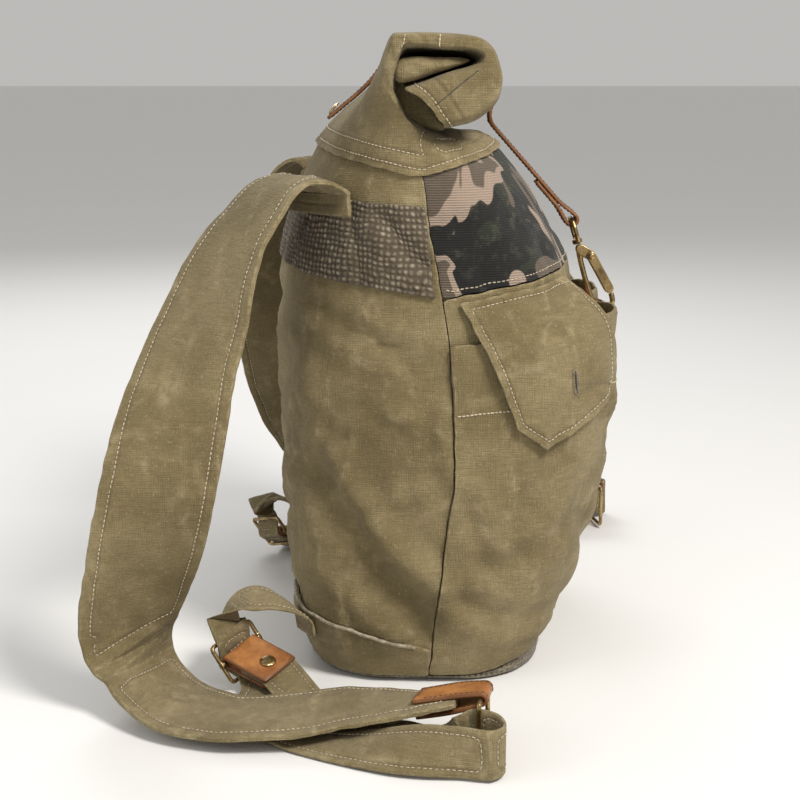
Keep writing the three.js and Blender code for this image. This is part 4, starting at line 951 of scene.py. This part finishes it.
POCKET_HEM = 0.048
for side in ("near", "far"):
    piece = f"pocket_{side}_cloth"
    tree = tree_of(pieces[piece]["obj"])
    mouth = field_to(piece, lambda p: p[:, 2] > 0.243)
    pieces[piece]["mouth"] = mouth
    for line in isolines(piece, mouth, POCKET_HEM, level_out):
        sack_thread.line(line, tree, *POCKET_THREAD)
    piece = f"flap_{side}_cloth"
    tree = tree_of(pieces[piece]["obj"])
    for line in isolines(piece, pieces[piece]["rim"], HEM_STITCH, level_out):
        sack_thread.line(line, tree)
sack_thread.piece("sack_stitches", cream_thread)

strap_thread = Thread()
for side in ("near", "far"):
    piece = f"shoulder_strap_{side}_cloth"
    tree = tree_of(pieces[piece]["obj"])
    for line in isolines(piece, pieces[piece]["rim"], STRAP_STITCH):
        strap_thread.line(line, tree)
    piece = f"lower_strap_{side}_cloth"
    tree = tree_of(pieces[piece]["obj"])
    for line in isolines(piece, pieces[piece]["rim"], HEM_STITCH):
        strap_thread.line(line, tree, *WEB_THREAD)
strap_thread.piece("strap_stitches", cream_thread)

leather_thread = Thread()
SEWN_LEATHER = ("closure_strap", "front_tab", "strap_tab_near", "strap_tab_far")
for piece in (f"{name}_leather" for name in SEWN_LEATHER):
    tree = tree_of(pieces[piece]["obj"])
    for line in isolines(piece, pieces[piece]["rim"], LEATHER_STITCH):
        leather_thread.line(line, tree, *LEATHER_THREAD)
leather_thread.piece("leather_stitches", dark_thread_and_slit_shadow)


# Buttonholes in the flaps, and the linen cord on the base band

def buttonhole(side):
    sign = -1 if side == "near" else 1
    tree = tree_of(pieces[f"flap_{side}_cloth"]["obj"])
    place, normal, _, _ = tree.find_nearest((0.097, sign * 0.153, 0.218))
    normal = np.array(normal)
    down = np.array([0.12, 0, -1.0])
    down -= normal * (down @ normal)
    down /= np.linalg.norm(down)
    across = np.cross(normal, down)
    half_length, half_width = 0.0085, 0.0012
    thread = Thread()
    count = 44
    for k in range(count):
        angle = 2 * math.pi * k / count
        ring = down * math.cos(angle) * half_length + across * math.sin(angle) * half_width * 1.7
        way = down * math.cos(angle) * half_width + across * math.sin(angle) * half_length
        centre, _, _, _ = tree.find_nearest((np.array(place) + ring).tolist())
        thread.stitch(np.array(centre) + normal * 0.0003, way, normal, 0.0024, 0.0004)
    thread.piece(f"buttonhole_{side}_stitches", olive_thread)
    # Painted shadow: a dark bar along the slit stands in for the shaded opening of the cut.
    slit = Thread()
    slit.stitch(np.array(place) + normal * 0.0002, down, normal, half_length * 1.9, 0.0007)
    slit.piece(f"buttonhole_{side}_slit", dark_thread_and_slit_shadow)


buttonhole("near")
buttonhole("far")


def cord_mesh(name, line, radius, finish, sides=8):
    """A twisted cord lying along a line."""
    marks = resampled(line, 0.0012)
    points, faces = [], []
    for i, mark in enumerate(marks):
        along = marks[min(i + 1, len(marks) - 1)] - marks[max(i - 1, 0)]
        along = along / np.linalg.norm(along)
        first = np.cross(along, (0, 0, 1.0))
        first = first / np.linalg.norm(first)
        second = np.cross(along, first)
        for k in range(sides):
            angle = 2 * math.pi * k / sides
            strand = 1 + 0.16 * math.cos(2 * angle - i * 0.9)
            points.append(mark + (first * math.cos(angle) + second * math.sin(angle)) * radius * strand)
    for i in range(len(marks) - 1):
        for k in range(sides):
            a, b = i * sides + k, i * sides + (k + 1) % sides
            faces.append((a, a + sides, b + sides, b))
    last = (len(marks) - 1) * sides
    faces.append(tuple(range(sides)))
    faces.append(tuple(range(last + sides - 1, last - 1, -1)))
    mesh = bpy.data.meshes.new(name)
    mesh.from_pydata([p.tolist() for p in points], [], faces)
    mesh.update()
    obj = new_object(name, mesh, finish)
    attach(obj, "pack")
    return obj


band_tree = tree_of(pieces["base_band_cloth"]["obj"])
band_turns = np.linspace(0.004, 0.496, 200)
band_rows = 1.05 + 0.45 * np.abs(np.sin(band_turns * 2 * math.pi)) ** 0.7
cord_line = []
for point in sack_point(band_turns, band_rows):
    place, normal, _, _ = band_tree.find_nearest((point + outward(point[None])[0] * 0.004).tolist())
    cord_line.append(np.array(place) + outward(point[None])[0] * 0.0004)
cord_mesh("base_band_cord", cord_line, 0.0012, linen_cord)


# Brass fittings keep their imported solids, with rounded edges and smooth wire

BRASS_NODES = [
    "closure_stud", "hook_swivel", "hook_body", "hook_gate", "hook_pin", "front_ring",
    "strap_ring_near", "strap_ring_far", "slider_near", "slider_far",
    "slider_rivet_near", "slider_rivet_far",
]
for name in BRASS_NODES:
    obj = nodes[name]
    obj.data.materials.clear()
    obj.data.materials.append(brass)
    remesh = obj.modifiers.new("skin", "REMESH")
    remesh.mode = "VOXEL"
    remesh.voxel_size = 0.00055
    remesh.use_smooth_shade = True
    relax = obj.modifiers.new("relax", "SMOOTH")
    relax.factor = 0.5
    relax.iterations = 5


bpy.ops.mesh.primitive_plane_add(size=80, location=(0, 0, -0.0002))
floor = bpy.context.object
floor.name = "floor"
pale = Graph("pale_floor", 0.7, Specular_IOR_Level=0.2)
paint = pale.mix(pale.noise(3, 2), (0.79, 0.785, 0.775), (0.81, 0.805, 0.795))
floor.data.materials.append(pale.finish(paint))
